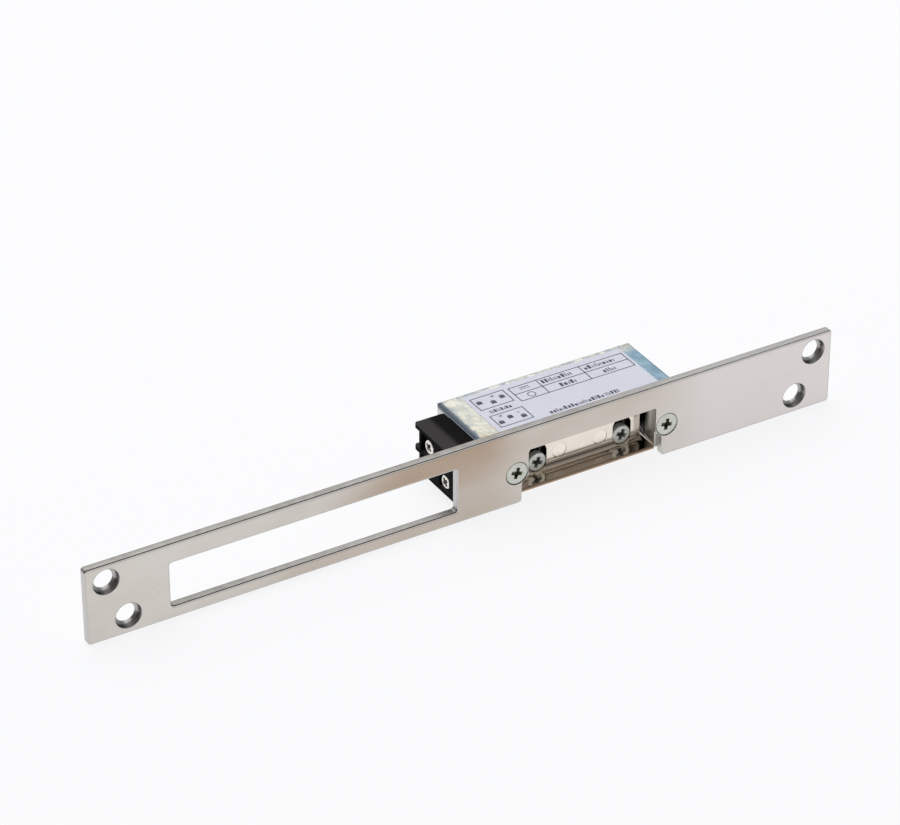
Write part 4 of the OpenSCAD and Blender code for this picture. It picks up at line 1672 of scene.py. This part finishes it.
@dataclass
class Magnet:
    """The electromagnet, its armature and the lever that blocks the keeper."""

    shop: Workshop
    bobbin_left: float = -14.6
    bobbin_len: float = 24.0
    middle_y: float = 24.0
    wind_r: float = 5.1
    wire_r: float = 0.19
    post_r: float = 3.55
    lead_r: float = 0.4
    lead_bend: float = 1.2
    rear_y: float = 33.5
    spring_x: float = 9.7
    spring_y: float = 20.4
    spring_above: float = 3.2
    spring_len: float = 1.887
    spring_wire: float = 0.16
    spring_keep: float = 0.6

    def winding(self, name: str, start: float, node: str) -> None:
        """Make one winding, as a layer of wire over the turns below it.

        Args:
            name: Name of the piece.
            start: Where it starts along the bobbin.
            node: Solid that it stands for.
        """
        length = (self.bobbin_len - 3.0) / 2 - 0.1
        x0 = STRIKE_X + self.bobbin_left + start + 0.05
        turns = int(length / (2.1 * self.wire_r))
        pitch = (length - 2.2 * self.wire_r) / turns
        r = self.wind_r - self.wire_r
        path = []
        for k in range(turns * TURN_STEPS + 1):
            a = 2 * math.pi * k / TURN_STEPS
            path.append((x0 + 1.1 * self.wire_r + pitch * k / TURN_STEPS, self.middle_y + r * math.cos(a),
                         AXIS_Z + r * math.sin(a)))
        piece = self.shop.wires(name, [path], self.wire_r, 8, Finishes.COPPER)
        inner = self.post_r
        under = lathe("under", [(inner, 0.0), (r, 0.0), (r, length), (inner, length), (inner, 0.0)])
        under.transform(Matrix.Translation(Vector((x0, self.middle_y, AXIS_Z)) * MM)
                        @ Matrix.Rotation(-math.pi / 2, 4, "Z"))
        bm = bmesh.new()
        bm.from_mesh(piece.data)
        bm.from_mesh(under)
        bmesh.ops.remove_doubles(bm, verts=bm.verts, dist=1e-7)
        bm.to_mesh(piece.data)
        bm.free()
        fit(smooth(piece, 50.0), Body.FRAME, Finishes.COPPER, node)

    def leads(self) -> None:
        """Make the four insulated leads from the coil to the terminals."""
        runs = (((-13.9, 22.3, 5.1), (-22.75, 22.3, 5.1), (-27.15, 18.4, 0.42)),
                ((-13.9, 23.5, 5.1), (-22.75, 23.5, 5.1), (-27.15, 20.45, 0.42)),
                ((-13.9, 24.7, 5.1), (-23.95, 24.7, 5.1), (-23.95, 23.5, -6.38), (-26.95, 18.4, -6.38)),
                ((-13.9, 25.9, 5.1), (-24.95, 25.9, 5.1), (-24.95, 24.5, -6.38), (-26.95, 20.65, -6.38)))
        paths = []
        for run in runs:
            points = [Vector((x + STRIKE_X, y, z)) for x, y, z in run]
            path = [points[0]]
            for before, here, after in zip(points, points[1:], points[2:]):
                a = here + (before - here).normalized() * self.lead_bend
                b = here + (after - here).normalized() * self.lead_bend
                path += [a.lerp(here, t).lerp(here.lerp(b, t), t) for t in (k / 8 for k in range(9))]
            paths.append(path + [points[-1]])
        piece = self.shop.wires("coil_wires", paths, self.lead_r, 12, Finishes.LEAD)
        fit(piece, Body.FRAME, Finishes.LEAD, "coil_leads")

    def springs(self) -> None:
        """Make the armature's spring and the lever's."""
        wire = self.spring_wire
        x, y, z = STRIKE_X + self.spring_x, self.spring_y, AXIS_Z + self.spring_above
        path = [(x + c, y + b, z - a) for a, b, c in coil(0.9, wire, self.spring_len, 3.5, 0.6)]
        spring = self.shop.wires("clapper_spring", [path], wire, 10, Finishes.SPRING)
        fit(spring, Body.FRAME, Finishes.SPRING, "armature_spring")
        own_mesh(spring)
        low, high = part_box("lever_spring")
        x, y, z = low.x / MM + wire, (low.y + high.y) / 2 / MM, (low.z + high.z) / 2 / MM
        length = (high.x - low.x) / MM - 2 * wire
        path = [(x + c, y + b, z - a) for a, b, c in coil(0.8, wire, length, 3.2, 0.6)]
        spring = self.shop.wires("stop_lever_spring", [path], wire, 10, Finishes.SPRING)
        fit(spring, Body.FRAME, Finishes.SPRING, "lever_spring")

    def build(self) -> None:
        """Make the magnet, its springs and screws."""
        self.winding("winding_near_terminals", 1.0, "coil_winding_left")
        self.winding("winding_near_armature", (self.bobbin_len + 1) / 2, "coil_winding_right")
        self.leads()
        eased = (("magnet_yoke", "yoke", Body.FRAME, Finishes.IRON),
                 ("coil_bobbin", "bobbin", Body.FRAME, Finishes.BOBBIN),
                 ("armature", "clapper_plate", Body.CLAPPER, Finishes.IRON),
                 ("blocking_lever", "stop_lever", Body.LEVER, Finishes.PIN))
        for node, name, body, finish in eased:
            fit(eased_copy(node, name, 0.15), body, finish, node)
        paint("magnet_core", Finishes.IRON)
        for node in ("armature_pin", "lever_pin"):
            paint(node, Finishes.PIN)
        screw = Screw("yoke_screw_shape", Drive.COUNTERSUNK, head_r=2.3, shank_r=1.25, head_h=1.05,
                      length=3.6, cross=2.5, cross_depth=0.9)
        spots = [Spot((STRIKE_X + x, self.rear_y, AXIS_Z), (0.0, turn, math.pi))
                 for x, turn in ((-9.0, 0.5), (4.0, 0.2))]
        piece = self.shop.spread("yoke_screw_pair", screw.build(), spots, Finishes.SCREW)
        fit(piece, Body.FRAME, Finishes.SCREW, "yoke_screws")
        self.springs()


@dataclass
class Keeper:
    """The swinging carrier and the polished keeper that slides on it."""

    shop: Workshop
    shift: float = 0.6
    face_y: float = 8.0
    screw_dx: float = 14.7
    screw_z: float = -6.6
    dowel_dx: float = 7.05
    dowel_r: float = 2.4
    dowel_z: float = -4.9
    dowel_len: float = 5.7
    spring_x: float = -21.0
    spring_y: float = 18.6
    spring_r: float = 1.35
    spring_wire: float = 0.25
    spring_keep: float = 0.6

    def spring(self) -> None:
        """Make the return spring."""
        wire = self.spring_wire
        low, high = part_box("keeper_spring")
        length = (high.z - low.z) / MM - 2 * wire
        x, y, z = STRIKE_X + self.spring_x, self.spring_y, low.z / MM + wire
        path = [(x + a, y + b, z + c) for a, b, c in coil(self.spring_r, wire, length, 8.0)]
        spring = self.shop.wires("return_spring", [path], wire, 12, Finishes.SPRING)
        fit(spring, Body.FRAME, Finishes.SPRING, "keeper_spring")
        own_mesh(spring)

    def build(self) -> None:
        """Make the keeper, its screws, dowels and spring."""
        face = eased_copy("keeper_plate", "keeper_face", 0.22, 0.0)
        fit(face, Body.ADJUSTER, Finishes.KEEPER, "keeper_plate")
        carrier = eased_copy("keeper_carrier", "carrier", 0.2, 4.0)
        fit(carrier, Body.KEEPER, Finishes.CARRIER, "keeper_carrier")
        x = STRIKE_X + self.shift
        screw = Screw("adjusting_screw_shape", Drive.CHEESE, head_r=3.05, shank_r=1.5, head_h=2.0,
                      length=7.4, cross=3.8, cross_depth=1.4, arm=0.66)
        spots = [Spot((x + side * self.screw_dx, self.face_y, self.screw_z), (0.0, turn, 0.0))
                 for side, turn in ((-1.0, 0.35), (1.0, 0.42))]
        piece = self.shop.spread("adjusting_screw_pair", screw.build(), spots, Finishes.ADJUST)
        fit(piece, Body.KEEPER, Finishes.ADJUST, "adjusting_screws")
        r, end = self.dowel_r, self.dowel_len
        profile = [(0.0, 0.0), (r - 0.30, 0.0), (r - 0.16, 0.0), (r - 0.05, 0.04), (r, 0.15), (r, end - 0.25),
                   (r - 0.25, end), (0.0, end)]
        pin = smooth(add_object("dowel_shape", lathe("dowel_shape", profile)))
        spots = [Spot((x + side * self.dowel_dx, self.face_y, self.dowel_z)) for side in (-1.0, 1.0)]
        piece = self.shop.spread("dowel_pair", pin, spots, Finishes.DOWEL)
        fit(piece, Body.ADJUSTER, Finishes.DOWEL, "guide_dowels")
        paint("keeper_pins", Finishes.PIN)
        self.spring()


# ---- camera, floor and light ----


@dataclass
class Studio:
    """Camera at the photograph's place, a white floor and soft light."""

    lens: float = 160.0
    sensor: float = 36.0
    eye: Point3 = (-0.4992, -0.8263, 0.6337)
    right: Point3 = (0.85948, -0.51116, -0.00098)
    up: Point3 = (0.27383, 0.45880, 0.84529)
    floor_z: float = -0.0125
    floor_half: float = 4.0
    floor_colour: Colour = (0.86, 0.86, 0.87)
    floor_glow: float = 0.86
    white: Colour = (0.985, 0.988, 1.0)
    room: Colour = (0.98, 0.99, 1.0)

    def camera(self) -> None:
        """Set the camera."""
        data = bpy.data.cameras.new("camera")
        data.lens = self.lens
        data.sensor_width = self.sensor
        data.sensor_fit = "HORIZONTAL"
        data.clip_start = 0.01
        data.clip_end = 50.0
        obj = bpy.data.objects.new("camera", data)
        bpy.context.scene.collection.objects.link(obj)
        x, y = Vector(self.right).normalized(), Vector(self.up).normalized()
        z = x.cross(y).normalized()
        y = z.cross(x)
        turn = Matrix((x, y, z)).transposed().to_4x4()
        obj.matrix_world = Matrix.Translation(Vector(self.eye)) @ turn
        bpy.context.scene.camera = obj

    def floor(self) -> None:
        """Lay a white floor that keeps a faint shadow."""
        h, z = self.floor_half, self.floor_z
        mesh = bpy.data.meshes.new("floor")
        mesh.from_pydata([(-h, -h, z), (h, -h, z), (h, h, z), (-h, h, z)], [], [(0, 1, 2, 3)])
        s = Shader("white_floor")
        rays = s.node("ShaderNodeLightPath").outputs
        seen = s.math("MAXIMUM", rays["Is Camera Ray"],
                      s.math("MAXIMUM", rays["Is Glossy Ray"], rays["Is Transmission Ray"]))
        matt = s.coloured("ShaderNodeBsdfDiffuse", self.floor_colour)
        glow = s.coloured("ShaderNodeEmission", self.white)
        mixed = s.either(s.math("MULTIPLY", seen, self.floor_glow), matt, glow)
        s.link(mixed, s.output.inputs["Surface"])
        mesh.materials.append(s.material)
        add_object("floor", mesh)

    def world(self) -> None:
        """Surround the part with a pale room that is darker above the viewer."""
        world = bpy.data.worlds.new("studio")
        bpy.context.scene.world = world
        world.use_nodes = True
        s = ShaderTree(world.node_tree)
        x, y, z = s.split(s.node("ShaderNodeTexCoord").outputs["Generated"])
        dark = s.times(s.span(y, -0.50, 0.0, 1.0, 0.0), s.span(z, 0.08, 0.30),
                       s.span(z, 0.85, 0.99, 1.0, 0.0))
        level = s.math("SUBTRACT", 0.78, s.math("MULTIPLY", dark, 0.55))
        level = s.math("ADD", level, s.span(z, 0.02, 0.28, 0.24, 0.0))
        level = s.times(level, s.span(x, -0.9, -0.2, 0.7, 1.0))
        room = s.coloured("ShaderNodeBackground", self.room)
        s.feed(room.inputs["Strength"], level)
        plain = s.coloured("ShaderNodeBackground", self.white)
        mixed = s.either(s.node("ShaderNodeLightPath").outputs["Is Camera Ray"], room, plain)
        s.link(mixed, s.node("ShaderNodeOutputWorld").inputs["Surface"])

    def lamp(self, name: str, place: Point3, aim: Point3, size: float, power: float) -> None:
        """Hang a square soft light.

        Args:
            name: Name of the lamp.
            place: Where it hangs, in metres.
            aim: Point that it faces.
            size: Length of its side.
            power: Its power in watts.
        """
        data = bpy.data.lights.new(name, "AREA")
        data.shape = "SQUARE"
        data.size = size
        data.energy = power
        obj = bpy.data.objects.new(name, data)
        bpy.context.scene.collection.objects.link(obj)
        obj.location = place
        obj.rotation_euler = (Vector(aim) - Vector(place)).to_track_quat("-Z", "Y").to_euler()

    def build(self) -> None:
        """Make the camera, the floor and the lights."""
        self.camera()
        self.floor()
        self.world()
        self.lamp("overhead_soft_light", (0.1, 0.75, 1.35), (0.05, 0.2, 0.0), 1.9, 17.0)
        bpy.context.scene.view_settings.view_transform = "Standard"


def main() -> None:
    """Build the studio and the strike's sub-assemblies in order."""
    logging.basicConfig(level=logging.INFO, format="%(name)s: %(message)s")
    Studio().build()
    shop = Workshop()
    for part in (Faceplate(shop), Casing(shop), TerminalBlock(shop), Magnet(shop), Keeper(shop)):
        part.build()
        LOG.info("%s done", type(part).__name__)


if __name__ == "__main__":
    main()
